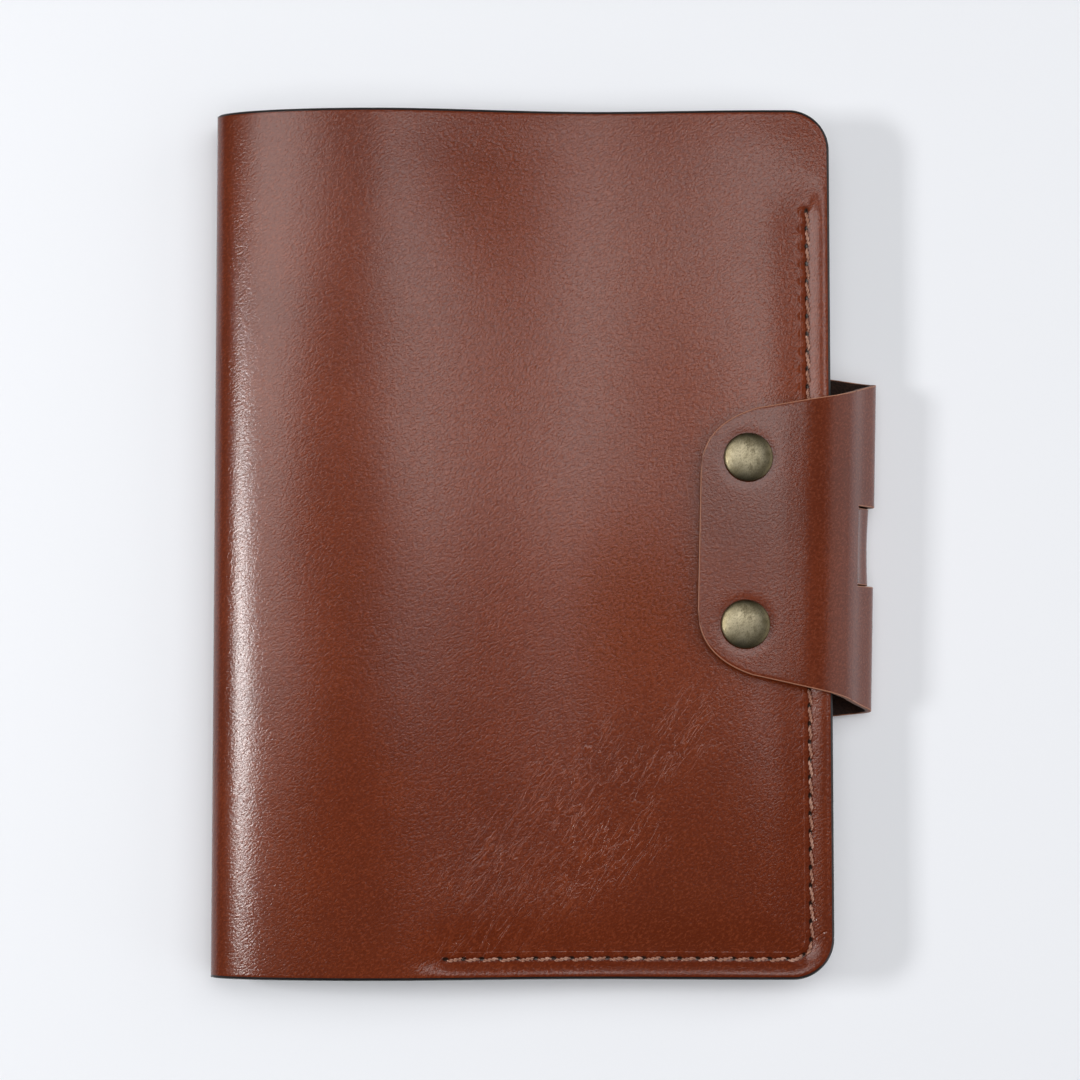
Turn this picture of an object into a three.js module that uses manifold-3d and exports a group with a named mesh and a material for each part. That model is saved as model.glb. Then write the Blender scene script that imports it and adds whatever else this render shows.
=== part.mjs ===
// A leather notebook cover with a wrap-around closing tab on two press studs.
// Millimetres, +Z up. The closed cover lies on its back panel on the plane z = 0.
// The spine runs along Y on the -X side, the fore-edge and the tab are on the +X side.
import * as THREE from 'three';
import { mergeVertices } from 'three/addons/utils/BufferGeometryUtils.js';
import Module from 'manifold-3d';

// ---- driving dimensions -------------------------------------------------------------
const COVER_HEIGHT = 222;
const SPINE_X = -85.4; // leftmost line of the closed cover
const FORE_EDGE_X = 72.9;
const CORNER_RADIUS = 10.5;
const COVER_LEATHER = 2.0;
const POCKET_LEATHER = 1.2;
const TAB_LEATHER = 1.6;
const PIECE_GAP = 0.3; // kept between pieces that touch
const BEYOND = 5; // how far cutting solids reach past what they cut

const LOWER_BEND = { width: 14, height: 11 }; // back panel rolling up into the spine
const UPPER_BEND = { width: 27, height: 11 }; // spine rolling over into the front panel
const TROUGH = { x: 8.6, z: 16.5 }; // the empty front panel sags between spine and tab
const SHOULDER = { x: 50, z: 18.9 };
const FORE_EDGE_Z = 18.8;
const LOWER_SPLIT = THREE.MathUtils.degToRad(48); // where back panel ends and spine begins
const UPPER_SPLIT = THREE.MathUtils.degToRad(33); // where spine ends and front panel begins

const POCKET = { left: -29.5, top: 88 }; // inner edges of both pockets
const SEAM = { sideInset: 5.7, bottomInset: 5.1, top: 84.7, left: -25.1, cornerRadius: 5 };
const STITCH_PITCH = 4.5;
const THREAD = { width: 0.8, height: 0.5 };
const STITCHES_PER_PIERCE = 6; // one stitch in six is carried through the leathers

const TAB_YAW = THREE.MathUtils.degToRad(-1.3); // the soft tab lies a little askew
const TAB_OFFSET_Y = -0.9;
const TAB = {
  baseReach: -29, // how far the anchor runs in under the back pocket
  curlCentre: 7.3, // distances are measured outwards from the fore-edge
  curlRadius: 4,
  curlAngle: THREE.MathUtils.degToRad(128),
  tip: -34,
  tipHalf: 17.5,
  cornerEnd: -20,
  cornerHalf: 33.9,
  cornerFullness: 29.5, // half width of the point the round corners are drawn towards
  edgeHalf: 37.9, // half width over the fore-edge
  foldHalf: 42.4, // half width on the outermost line of the fold
  rootHalf: 44.1, // half width where it leaves the back panel
  baseHalf: 40, // half width at its inner end
};
const PEN_STRAP = { halfWidth: 9.7, slit: 0.6, recess: 1.7 };

const SNAP = { inset: -22, spacing: 42.3, capRadius: 6.25 };
const SNAP_SEGMENTS = 20;
const FLAP_HEIGHT = 3.0; // flap's inner face above the front panel, at the press studs

// ---- materials ----------------------------------------------------------------------
const leatherMaterial = (color) =>
  new THREE.MeshStandardMaterial({ color, roughness: 0.48, metalness: 0 });
const brassMaterial = (color) =>
  new THREE.MeshStandardMaterial({ color, roughness: 0.32, metalness: 1 });
const HIDE_COLOR = 0x6b2e1a;
const POCKET_COLOR = 0x5a2415;
const TAB_COLOR = 0x5c2415;
const THREAD_COLOR = 0xb9784f;
const CAP_COLOR = 0xa59a66;
const SOCKET_COLOR = 0x8a7d4c;

// ---- solids -------------------------------------------------------------------------
const wasm = await Module();
wasm.setup();

function toSolid(geometry) {
  const bare = geometry.clone();
  bare.deleteAttribute('normal');
  bare.deleteAttribute('uv');
  const merged = mergeVertices(bare, 1e-4);
  return new wasm.Manifold(
    new wasm.Mesh({
      numProp: 3,
      vertProperties: new Float32Array(merged.attributes.position.array),
      triVerts: new Uint32Array(merged.index.array),
    }),
  );
}

function toGeometry(solid) {
  const mesh = solid.getMesh();
  const geometry = new THREE.BufferGeometry();
  geometry.setAttribute('position', new THREE.BufferAttribute(mesh.vertProperties, 3));
  geometry.setIndex(new THREE.BufferAttribute(mesh.triVerts, 1));
  geometry.computeVertexNormals();
  return geometry;
}

function namedMesh(name, solid, material) {
  const mesh = new THREE.Mesh(toGeometry(solid), material);
  mesh.name = name;
  return mesh;
}

// A closed outline in the XZ plane, pushed along Y from -halfLength to +halfLength.
function prismAlongY(outline, halfLength) {
  const geometry = new THREE.ExtrudeGeometry(new THREE.Shape(outline), {
    depth: 2 * halfLength,
    bevelEnabled: false,
  });
  geometry.translate(0, 0, -halfLength);
  geometry.rotateX(Math.PI / 2);
  return toSolid(geometry);
}

// A closed outline in the XY plane, pushed along Z over more than the whole thickness.
function prismAlongZ(shape, low = -5, high = 40) {
  const geometry = new THREE.ExtrudeGeometry(shape, {
    depth: high - low,
    bevelEnabled: false,
    curveSegments: 6,
  });
  geometry.translate(0, 0, low);
  return toSolid(geometry);
}

// A closed outline given as [y, z] points, pushed along X from low to high.
function prismAlongX(outline, low, high) {
  const shape = new THREE.Shape(outline.map(([y, z]) => new THREE.Vector2(y, z)));
  const geometry = new THREE.ExtrudeGeometry(shape, { depth: high - low, bevelEnabled: false });
  geometry.rotateX(Math.PI / 2);
  geometry.rotateZ(Math.PI / 2);
  geometry.translate(low, 0, 0);
  return toSolid(geometry);
}

// A line with its direction of travel at every point, so that pieces cut from it have
// parallel ends where they meet.
function directed(points) {
  return points.map((point, index) => {
    const before = points[Math.max(index - 1, 0)];
    const after = points[Math.min(index + 1, points.length - 1)];
    return { point, along: after.clone().sub(before).normalize() };
  });
}

// Positive offsets lie to the left of the direction of travel.
const moved = ({ point, along }, offset) =>
  new THREE.Vector2(point.x - along.y * offset, point.y + along.x * offset);

// The outline between two copies of a line, one on either side of it.
const band = (line, offsetLow, offsetHigh) => [
  ...line.map((place) => moved(place, offsetLow)),
  ...line.map((place) => moved(place, offsetHigh)).reverse(),
];

// The same line with its first or last point moved in by half the gap to its neighbour.
function shortened({ point, along }, amount) {
  return { point: point.clone().addScaledVector(along, amount), along };
}
const trimStart = (line) => [shortened(line[0], PIECE_GAP / 2), ...line.slice(1)];
const trimEnd = (line) => [...line.slice(0, -1), shortened(line.at(-1), -PIECE_GAP / 2)];

// ---- the cover's profile, seen along Y ----------------------------------------------
// Each part of the outer line is travelled from the back panel, round the spine, to the
// front panel, so the inside of the cover is always on its right.
const lowerBend = (angle) =>
  new THREE.Vector2(
    SPINE_X + LOWER_BEND.width * (1 - Math.sin(angle)),
    LOWER_BEND.height * (1 - Math.cos(angle)),
  );
const upperBend = (angle) =>
  new THREE.Vector2(
    SPINE_X + UPPER_BEND.width * (1 - Math.cos(angle)),
    LOWER_BEND.height + UPPER_BEND.height * Math.sin(angle),
  );

function sample(curve, from, to, steps) {
  return Array.from({ length: steps + 1 }, (_, i) => curve(from + ((to - from) * i) / steps));
}

const CREST = upperBend(Math.PI / 2);
const frontLine = new THREE.CatmullRomCurve3(
  [
    new THREE.Vector3(CREST.x, CREST.y, 0),
    new THREE.Vector3(CREST.x + 14, CREST.y - 0.7, 0),
    new THREE.Vector3(TROUGH.x, TROUGH.z, 0),
    new THREE.Vector3(SHOULDER.x, SHOULDER.z, 0),
    new THREE.Vector3(FORE_EDGE_X, FORE_EDGE_Z, 0),
  ],
  false,
  'centripetal',
);
const FRONT_STEPS = 18;
const FRONT_SAG = frontLine
  .getPoints(FRONT_STEPS)
  .map((point) => new THREE.Vector2(point.x, point.y));

const QUARTER_TURN = Math.PI / 2;
const LOWER_STEPS = 5;
const SPINE_STEPS = 4;
const UPPER_STEPS = 7;
const COVER_LINE = directed([
  new THREE.Vector2(FORE_EDGE_X, 0),
  ...sample(lowerBend, 0, LOWER_SPLIT, LOWER_STEPS),
  ...sample(lowerBend, LOWER_SPLIT, QUARTER_TURN, SPINE_STEPS).slice(1),
  ...sample(upperBend, 0, UPPER_SPLIT, SPINE_STEPS).slice(1),
  ...sample(upperBend, UPPER_SPLIT, QUARTER_TURN, UPPER_STEPS).slice(1),
  ...FRONT_SAG.slice(1),
]);
const SPINE_START = LOWER_STEPS + 1;
const FRONT_START = SPINE_START + 2 * SPINE_STEPS;
const BACK_PROFILE = COVER_LINE.slice(0, SPINE_START + 1);
const SPINE_PROFILE = COVER_LINE.slice(SPINE_START, FRONT_START + 1);
const FRONT_PROFILE = COVER_LINE.slice(FRONT_START);

function frontHeightAt(x) {
  const next = FRONT_SAG.findIndex((point) => point.x >= x);
  const [a, b] = [FRONT_SAG[next - 1], FRONT_SAG[next]];
  return a.y + ((b.y - a.y) * (x - a.x)) / (b.x - a.x);
}

const HALF_HEIGHT = COVER_HEIGHT / 2;

function coverPlan() {
  const shape = new THREE.Shape();
  shape.moveTo(SPINE_X - BEYOND, -HALF_HEIGHT);
  shape.lineTo(FORE_EDGE_X - CORNER_RADIUS, -HALF_HEIGHT);
  shape.absarc(
    FORE_EDGE_X - CORNER_RADIUS,
    -HALF_HEIGHT + CORNER_RADIUS,
    CORNER_RADIUS,
    -Math.PI / 2,
    0,
  );
  shape.absarc(
    FORE_EDGE_X - CORNER_RADIUS,
    HALF_HEIGHT - CORNER_RADIUS,
    CORNER_RADIUS,
    0,
    Math.PI / 2,
  );
  shape.lineTo(SPINE_X - BEYOND, HALF_HEIGHT);
  return shape;
}

// Pocket panels follow the cover's outline along the fore-edge and the bottom, and stop
// short of the spine and of the top.
function pocketPlan() {
  const shape = new THREE.Shape();
  shape.moveTo(POCKET.left, -HALF_HEIGHT);
  shape.lineTo(FORE_EDGE_X - CORNER_RADIUS, -HALF_HEIGHT);
  shape.absarc(
    FORE_EDGE_X - CORNER_RADIUS,
    -HALF_HEIGHT + CORNER_RADIUS,
    CORNER_RADIUS,
    -Math.PI / 2,
    0,
  );
  shape.lineTo(FORE_EDGE_X, POCKET.top);
  shape.lineTo(POCKET.left, POCKET.top);
  return shape;
}

// The middle line of the L-shaped seam, from its top end down and round to its left end.
function seamLine() {
  const side = FORE_EDGE_X - SEAM.sideInset;
  const bottom = -HALF_HEIGHT + SEAM.bottomInset;
  const path = new THREE.Path();
  path.moveTo(side, SEAM.top);
  path.lineTo(side, bottom + SEAM.cornerRadius);
  path.absarc(
    side - SEAM.cornerRadius,
    bottom + SEAM.cornerRadius,
    SEAM.cornerRadius,
    0,
    -Math.PI / 2,
    true,
  );
  path.lineTo(SEAM.left, bottom);
  return path;
}

function seamPlan(width) {
  const corners = directed(seamLine().getPoints(5));
  return new THREE.Shape(band(corners, -width / 2, width / 2));
}

// Places along the seam where the thread passes through all the leathers.
function piercings() {
  const line = seamLine();
  const spacing = STITCH_PITCH * STITCHES_PER_PIERCE;
  const count = Math.floor(line.getLength() / spacing);
  const margin = (line.getLength() - count * spacing) / 2;
  return Array.from({ length: count + 1 }, (_, i) =>
    line.getPointAt((margin + i * spacing) / line.getLength()),
  );
}

function postsAt(places, radius, low, high, segments = 8) {
  const posts = places.map(({ x, y }) => {
    const post = new THREE.CylinderGeometry(radius, radius, high - low, segments);
    post.rotateX(Math.PI / 2);
    post.translate(x, y, (low + high) / 2);
    return toSolid(post);
  });
  return posts.reduce((all, post) => all.add(post));
}

// ---- cover hide: back panel, spine, front panel -------------------------------------
const inPlan = (profileBand, shape) =>
  prismAlongY(profileBand, HALF_HEIGHT + BEYOND).intersect(prismAlongZ(shape));

const GROOVE_DEPTH = 0.7;
const GROOVE_WIDTH = 1.3;
const THREAD_CLEARANCE = 0.15;
const HOLE_RADIUS = THREAD.width / 2 + THREAD_CLEARANCE;

const seamHoles = (low, high) => postsAt(piercings(), HOLE_RADIUS, low, high);
const groove = (profile) => inPlan(band(profile, 1, -GROOVE_DEPTH), seamPlan(GROOVE_WIDTH));
const FRONT_LOW = 10; // a height between the back and front stacks of leather
const FRONT_HIGH = 30; // and one above everything

function backCoverPanel() {
  const profile = trimEnd(BACK_PROFILE);
  return inPlan(band(profile, 0, -COVER_LEATHER), coverPlan())
    .subtract(groove(BACK_PROFILE))
    .subtract(seamHoles(-1, COVER_LEATHER + 1));
}

function spinePanel() {
  const profile = trimEnd(trimStart(SPINE_PROFILE));
  return inPlan(band(profile, 0, -COVER_LEATHER), coverPlan());
}

// ---- tab: anchor, fold and flap -----------------------------------------------------
// Its own frame has its origin on the fore-edge, with +X pointing away from the cover.
const tabGroup = new THREE.Group();
tabGroup.position.set(FORE_EDGE_X, TAB_OFFSET_Y, 0);
tabGroup.rotation.z = TAB_YAW;
tabGroup.updateMatrixWorld(true);

const TAB_LOW = COVER_LEATHER + PIECE_GAP; // underside of the anchor
const BASE_MID = TAB_LOW + TAB_LEATHER / 2;
const FLAP_MID =
  frontHeightAt(FORE_EDGE_X + SNAP.inset) + FLAP_HEIGHT + TAB_LEATHER / 2;

const CURL_ARC = new THREE.EllipseCurve(
  TAB.curlCentre,
  BASE_MID + TAB.curlRadius,
  TAB.curlRadius,
  TAB.curlRadius,
  -QUARTER_TURN,
  -QUARTER_TURN + TAB.curlAngle,
);
// From the end of the curl, up the outer side of the fold, over the fore-edge, where it
// settles on the front panel, and on past the press studs to the tip.
const FLAP_SPLINE = new THREE.SplineCurve([
  CURL_ARC.getPoint(1),
  new THREE.Vector2(7.6, 12.7),
  new THREE.Vector2(3.1, 18.6),
  new THREE.Vector2(-2, 21.1),
  new THREE.Vector2(-11, 22.2),
  new THREE.Vector2(SNAP.inset, FLAP_MID),
  new THREE.Vector2(TAB.tip, FLAP_MID - 0.1),
]);
const BASE_SPLIT = 0.5; // share of the curl that stays with the anchor
const FLAP_SPLIT = 0.42; // share of the flap's line that belongs to the fold
const BASE_STEPS = 5;
const CURL_STEPS = 5;
const RISE_STEPS = 7;
const FLAP_STEPS = 12;
const stretch = (curve, from, to, steps) => sample((t) => curve.getPoint(t), from, to, steps);
const TAB_LINE = directed([
  new THREE.Vector2(TAB.baseReach, BASE_MID),
  ...stretch(CURL_ARC, 0, BASE_SPLIT, BASE_STEPS),
  ...stretch(CURL_ARC, BASE_SPLIT, 1, CURL_STEPS).slice(1),
  ...stretch(FLAP_SPLINE, 0, FLAP_SPLIT, RISE_STEPS).slice(1),
  ...stretch(FLAP_SPLINE, FLAP_SPLIT, 1, FLAP_STEPS).slice(1),
]);
const CURL_REACH = TAB.curlCentre + TAB.curlRadius + BEYOND;
const FOLD_START = BASE_STEPS + 1;
const FLAP_START = FOLD_START + CURL_STEPS + RISE_STEPS;
const ANCHOR_PROFILE = trimEnd(TAB_LINE.slice(0, FOLD_START + 1));
const FOLD_PROFILE = trimEnd(trimStart(TAB_LINE.slice(FOLD_START, FLAP_START + 1)));
const FLAP_PROFILE = trimStart(TAB_LINE.slice(FLAP_START));
const HALF_TAB = TAB_LEATHER / 2;

function toTabFrame(solid) {
  const geometry = toGeometry(solid);
  geometry.applyMatrix4(tabGroup.matrixWorld.clone().invert());
  return toSolid(geometry);
}

function tabBase() {
  const plan = new THREE.Shape([
    new THREE.Vector2(TAB.baseReach, -TAB.baseHalf),
    new THREE.Vector2(0, -TAB.rootHalf),
    new THREE.Vector2(CURL_REACH, -TAB.foldHalf),
    new THREE.Vector2(CURL_REACH, TAB.foldHalf),
    new THREE.Vector2(0, TAB.rootHalf),
    new THREE.Vector2(TAB.baseReach, TAB.baseHalf),
  ]);
  return inPlan(band(ANCHOR_PROFILE, -HALF_TAB, HALF_TAB), plan).subtract(
    toTabFrame(seamHoles(0, TAB_LOW + TAB_LEATHER + 1)),
  );
}

// Two slits free a strap in the middle of the fold, pushed in to grip a pen.
function tabFold() {
  const curlTop = BASE_MID + TAB.curlRadius;
  const sides = [
    [TAB.rootHalf, 0],
    [TAB.foldHalf, curlTop],
    [TAB.edgeHalf, FLAP_MID],
  ];
  const mirrored = sides.map(([y, z]) => [-y, z]).reverse();
  const elevation = prismAlongX([...sides, ...mirrored], -BEYOND, CURL_REACH);
  const whole = prismAlongY(
    band(FOLD_PROFILE, -HALF_TAB, HALF_TAB),
    TAB.rootHalf + BEYOND,
  ).intersect(elevation);
  const strapOuter = PEN_STRAP.halfWidth + PEN_STRAP.slit;
  const strapLine = FOLD_PROFILE.slice(3, -3);
  const window = prismAlongY(band(strapLine, -HALF_TAB - 1, HALF_TAB + 1), strapOuter);
  const strap = FOLD_PROFILE.slice(2, -2).map((place, index, line) => {
    const depth = PEN_STRAP.recess * Math.sin((Math.PI * index) / (line.length - 1));
    return { point: moved(place, depth), along: place.along };
  });
  const strapSolid = prismAlongY(band(strap, -HALF_TAB, HALF_TAB), PEN_STRAP.halfWidth);
  return whole.subtract(window).add(strapSolid);
}

function tabFlapPlan() {
  const shape = new THREE.Shape();
  const slope = (TAB.edgeHalf - TAB.cornerHalf) / -TAB.cornerEnd;
  const outsideHalf = TAB.edgeHalf + slope * BEYOND;
  shape.moveTo(BEYOND, -outsideHalf);
  shape.lineTo(BEYOND, outsideHalf);
  shape.lineTo(TAB.cornerEnd, TAB.cornerHalf);
  shape.quadraticCurveTo(TAB.tip, TAB.cornerFullness, TAB.tip, TAB.tipHalf);
  shape.lineTo(TAB.tip, -TAB.tipHalf);
  shape.quadraticCurveTo(TAB.tip, -TAB.cornerFullness, TAB.cornerEnd, -TAB.cornerHalf);
  return shape;
}

const SNAP_SIDES = [
  ['upper', SNAP.spacing / 2],
  ['lower', -SNAP.spacing / 2],
];
const SNAP_HOLE_RADIUS = 2.1;
const SNAP_PLACES = SNAP_SIDES.map(([, y]) => new THREE.Vector3(SNAP.inset, y, 0));

function tabFlap() {
  return inPlan(band(FLAP_PROFILE, -HALF_TAB, HALF_TAB), tabFlapPlan()).subtract(
    postsAt(SNAP_PLACES, SNAP_HOLE_RADIUS, FRONT_LOW, FRONT_HIGH, SNAP_SEGMENTS),
  );
}

// ---- press studs: cap and socket on the flap, stud and eyelet on the front panel ----
// Heights are measured from the front panel's outer face, radii from the stud's axis.
const FLANGE_RADIUS = 4.6;
const FLANGE_THICKNESS = 0.5;
const EYELET = { bore: 1.1, outer: 1.6, top: 1.4 };
const CAP_CLEARANCE = 0.25; // between the flap and the cap's underside
const EYELET_SINK = 0.8; // the eyelet's flange is pressed into the inner face

function lathed(profile) {
  // the profile is a closed run of radius and height pairs
  const points = profile.map(([radius, height]) => new THREE.Vector2(radius, height));
  const geometry = new THREE.LatheGeometry([...points, points[0].clone()], SNAP_SEGMENTS);
  geometry.rotateX(Math.PI / 2);
  return toSolid(geometry);
}

function snapCap() {
  const seat = FLAP_HEIGHT + TAB_LEATHER + CAP_CLEARANCE;
  const rim = SNAP.capRadius;
  return lathed([
    [0, seat - 2.1],
    [1.5, seat - 2.1],
    [1.5, seat],
    [rim - 0.5, seat],
    [rim, seat + 0.4],
    [rim, seat + 0.8],
    [rim - 0.6, seat + 1.25],
    [rim - 2.2, seat + 1.75],
    [rim - 4.2, seat + 2.05],
    [0, seat + 2.15],
  ]);
}

function snapSocket() {
  return lathed([
    [1.8, 2.4],
    [3.3, 2.4],
    [3.3, 1.05],
    [4.2, 0.95],
    [5.6, 1.5],
    [5.6, 2.3],
    [5.2, 2.7],
    [1.8, 2.7],
  ]);
}

function snapStud() {
  return lathed([
    [2.1, 0.3],
    [4.9, 0.3],
    [4.9, 0.6],
    [3.2, 0.8],
    [2.6, 1.1],
    [2.9, 1.6],
    [2.6, 2.0],
    [1.9, 2.15],
    [1.9, 1.7],
    [2.1, 1.6],
  ]);
}

function snapEyelet() {
  const flange = -COVER_LEATHER;
  return lathed([
    [EYELET.bore, flange],
    [FLANGE_RADIUS, flange],
    [FLANGE_RADIUS, flange + FLANGE_THICKNESS],
    [EYELET.outer, flange + FLANGE_THICKNESS],
    [EYELET.outer, EYELET.top],
    [EYELET.bore, EYELET.top],
  ]);
}

// ---- front panel with its holes -----------------------------------------------------
const snapWorldPlaces = SNAP_PLACES.map((place) => tabGroup.localToWorld(place.clone()));
const SNAP_FLOOR = Math.min(...snapWorldPlaces.map(({ x }) => frontHeightAt(x)));

function frontCoverPanel() {
  const profile = trimStart(FRONT_PROFILE);
  const sinkTop = SNAP_FLOOR - COVER_LEATHER + EYELET_SINK;
  const sinkRadius = FLANGE_RADIUS + PIECE_GAP;
  return inPlan(band(profile, 0, -COVER_LEATHER), coverPlan())
    .subtract(groove(FRONT_PROFILE))
    .subtract(seamHoles(FRONT_LOW, FRONT_HIGH))
    .subtract(postsAt(snapWorldPlaces, SNAP_HOLE_RADIUS, FRONT_LOW, FRONT_HIGH, SNAP_SEGMENTS))
    .subtract(postsAt(snapWorldPlaces, sinkRadius, FRONT_LOW, sinkTop, SNAP_SEGMENTS));
}

// ---- pockets ------------------------------------------------------------------------
const FRONT_POCKET_OFFSET = COVER_LEATHER + PIECE_GAP;

function frontPocketPanel() {
  const profileBand = band(
    FRONT_PROFILE,
    -FRONT_POCKET_OFFSET,
    -FRONT_POCKET_OFFSET - POCKET_LEATHER,
  );
  return inPlan(profileBand, pocketPlan()).subtract(seamHoles(FRONT_LOW, FRONT_HIGH));
}

// The back pocket lies on the back panel and rides up over the tab's anchor.
const POCKET_STEP = { foot: 50, top: 46.5 };
const POCKET_LOW = TAB_LOW;
const POCKET_HIGH = TAB_LOW + TAB_LEATHER + PIECE_GAP;

function backPocketPanel() {
  const underside = [
    [-HALF_HEIGHT - BEYOND, POCKET_LOW],
    [-POCKET_STEP.foot, POCKET_LOW],
    [-POCKET_STEP.top, POCKET_HIGH],
    [POCKET_STEP.top, POCKET_HIGH],
    [POCKET_STEP.foot, POCKET_LOW],
    [HALF_HEIGHT + BEYOND, POCKET_LOW],
  ];
  const upside = underside.map(([y, z]) => [y, z + POCKET_LEATHER]).reverse();
  return prismAlongX([...underside, ...upside], POCKET.left - BEYOND, FORE_EDGE_X + BEYOND)
    .intersect(prismAlongZ(pocketPlan()))
    .subtract(seamHoles(0, FRONT_LOW));
}

// ---- seam threads -------------------------------------------------------------------
// Each thread lies in the groove outside and along the pocket inside, joined through the
// pierced holes.
const THREAD_SINK = GROOVE_DEPTH - THREAD_CLEARANCE - THREAD.height;
const POST_OVERLAP = 0.1; // the posts' ends lie this far inside the thread's runs

function frontSeamThread() {
  const outside = inPlan(
    band(FRONT_PROFILE, -THREAD_SINK, -THREAD_SINK - THREAD.height),
    seamPlan(THREAD.width),
  );
  const innerOffset = -FRONT_POCKET_OFFSET - POCKET_LEATHER - THREAD_CLEARANCE;
  const inside = inPlan(
    band(FRONT_PROFILE, innerOffset, innerOffset - THREAD.height),
    seamPlan(THREAD.width),
  );
  const reach = prismAlongY(
    band(FRONT_PROFILE, -THREAD_SINK - POST_OVERLAP, innerOffset - POST_OVERLAP),
    HALF_HEIGHT,
  );
  const posts = postsAt(piercings(), THREAD.width / 2, FRONT_LOW, FRONT_HIGH).intersect(reach);
  return outside.add(inside).add(posts);
}

function backSeamThread() {
  const bottomBar = prismAlongZ(seamPlan(THREAD.width), THREAD_SINK, THREAD_SINK + THREAD.height);
  const lift = POCKET_LEATHER + THREAD_CLEARANCE;
  const line = [
    [-HALF_HEIGHT - BEYOND, POCKET_LOW + lift],
    [-POCKET_STEP.foot, POCKET_LOW + lift],
    [-POCKET_STEP.top, POCKET_HIGH + lift],
    [POCKET_STEP.top, POCKET_HIGH + lift],
    [POCKET_STEP.foot, POCKET_LOW + lift],
    [HALF_HEIGHT + BEYOND, POCKET_LOW + lift],
  ];
  const raised = line.map(([y, z]) => [y, z + THREAD.height]).reverse();
  const topBar = prismAlongX([...line, ...raised], SPINE_X, FORE_EDGE_X).intersect(
    prismAlongZ(seamPlan(THREAD.width)),
  );
  const lowSide = [
    [HALF_HEIGHT + BEYOND, THREAD_SINK + POST_OVERLAP],
    [-HALF_HEIGHT - BEYOND, THREAD_SINK + POST_OVERLAP],
  ];
  const within = prismAlongX(
    [...line.map(([y, z]) => [y, z + POST_OVERLAP]), ...lowSide],
    SPINE_X,
    FORE_EDGE_X,
  );
  const posts = postsAt(piercings(), THREAD.width / 2, -1, FRONT_LOW).intersect(within);
  return bottomBar.add(topBar).add(posts);
}

// ---- the assembly -------------------------------------------------------------------
const cover = new THREE.Group();
cover.add(
  namedMesh('back_cover_panel', backCoverPanel(), leatherMaterial(HIDE_COLOR)),
  namedMesh('spine_panel', spinePanel(), leatherMaterial(HIDE_COLOR)),
  namedMesh('front_cover_panel', frontCoverPanel(), leatherMaterial(HIDE_COLOR)),
  namedMesh('front_pocket_panel', frontPocketPanel(), leatherMaterial(POCKET_COLOR)),
  namedMesh('back_pocket_panel', backPocketPanel(), leatherMaterial(POCKET_COLOR)),
  namedMesh('front_seam_thread', frontSeamThread(), leatherMaterial(THREAD_COLOR)),
  namedMesh('back_seam_thread', backSeamThread(), leatherMaterial(THREAD_COLOR)),
);

tabGroup.add(
  namedMesh('tab_base', tabBase(), leatherMaterial(TAB_COLOR)),
  namedMesh('tab_fold', tabFold(), leatherMaterial(TAB_COLOR)),
  namedMesh('tab_flap', tabFlap(), leatherMaterial(TAB_COLOR)),
);
for (const [side, y] of SNAP_SIDES) {
  const snap = new THREE.Group();
  snap.position.set(SNAP.inset, y, SNAP_FLOOR);
  snap.add(
    namedMesh(`${side}_snap_cap`, snapCap(), brassMaterial(CAP_COLOR)),
    namedMesh(`${side}_snap_socket`, snapSocket(), brassMaterial(SOCKET_COLOR)),
    namedMesh(`${side}_snap_stud`, snapStud(), brassMaterial(SOCKET_COLOR)),
    namedMesh(`${side}_snap_eyelet`, snapEyelet(), brassMaterial(SOCKET_COLOR)),
  );
  tabGroup.add(snap);
}
cover.add(tabGroup);

export default cover;
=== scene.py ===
"""A closed leather notebook cover on a pale table: the looks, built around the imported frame."""
from math import ceil, copysign, cos, pi, radians, sin, sqrt

import bpy
import numpy as np
from numpy.linalg import norm
from mathutils import Matrix, Vector


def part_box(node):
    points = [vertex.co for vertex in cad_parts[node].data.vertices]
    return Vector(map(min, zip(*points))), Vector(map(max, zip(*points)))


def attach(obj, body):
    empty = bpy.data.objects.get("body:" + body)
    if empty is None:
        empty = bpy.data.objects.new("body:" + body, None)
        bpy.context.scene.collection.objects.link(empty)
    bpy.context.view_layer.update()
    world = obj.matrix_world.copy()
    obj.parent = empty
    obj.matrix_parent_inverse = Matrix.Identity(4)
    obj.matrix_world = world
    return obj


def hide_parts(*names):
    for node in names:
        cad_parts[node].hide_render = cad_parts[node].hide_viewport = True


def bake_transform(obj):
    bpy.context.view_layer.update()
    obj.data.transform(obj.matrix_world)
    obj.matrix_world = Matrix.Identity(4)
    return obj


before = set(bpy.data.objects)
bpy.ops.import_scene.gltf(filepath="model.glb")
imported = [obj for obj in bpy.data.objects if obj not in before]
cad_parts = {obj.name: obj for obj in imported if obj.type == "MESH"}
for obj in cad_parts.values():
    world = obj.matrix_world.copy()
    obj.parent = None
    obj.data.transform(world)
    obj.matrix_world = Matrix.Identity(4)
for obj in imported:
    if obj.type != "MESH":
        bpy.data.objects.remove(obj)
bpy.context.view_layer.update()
MM = 0.001
QUARTER = pi / 2


def mm(*values):
    return tuple(value * MM for value in values)


# ---- driving sizes, read from the frame where it holds them (metres) ----
_, (FORE_EDGE_X, HALF_HEIGHT, _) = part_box("back_cover_panel")
_, (_, _, CREST_Z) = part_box("front_cover_panel")
(SPINE_X, _, _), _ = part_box("spine_panel")

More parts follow.
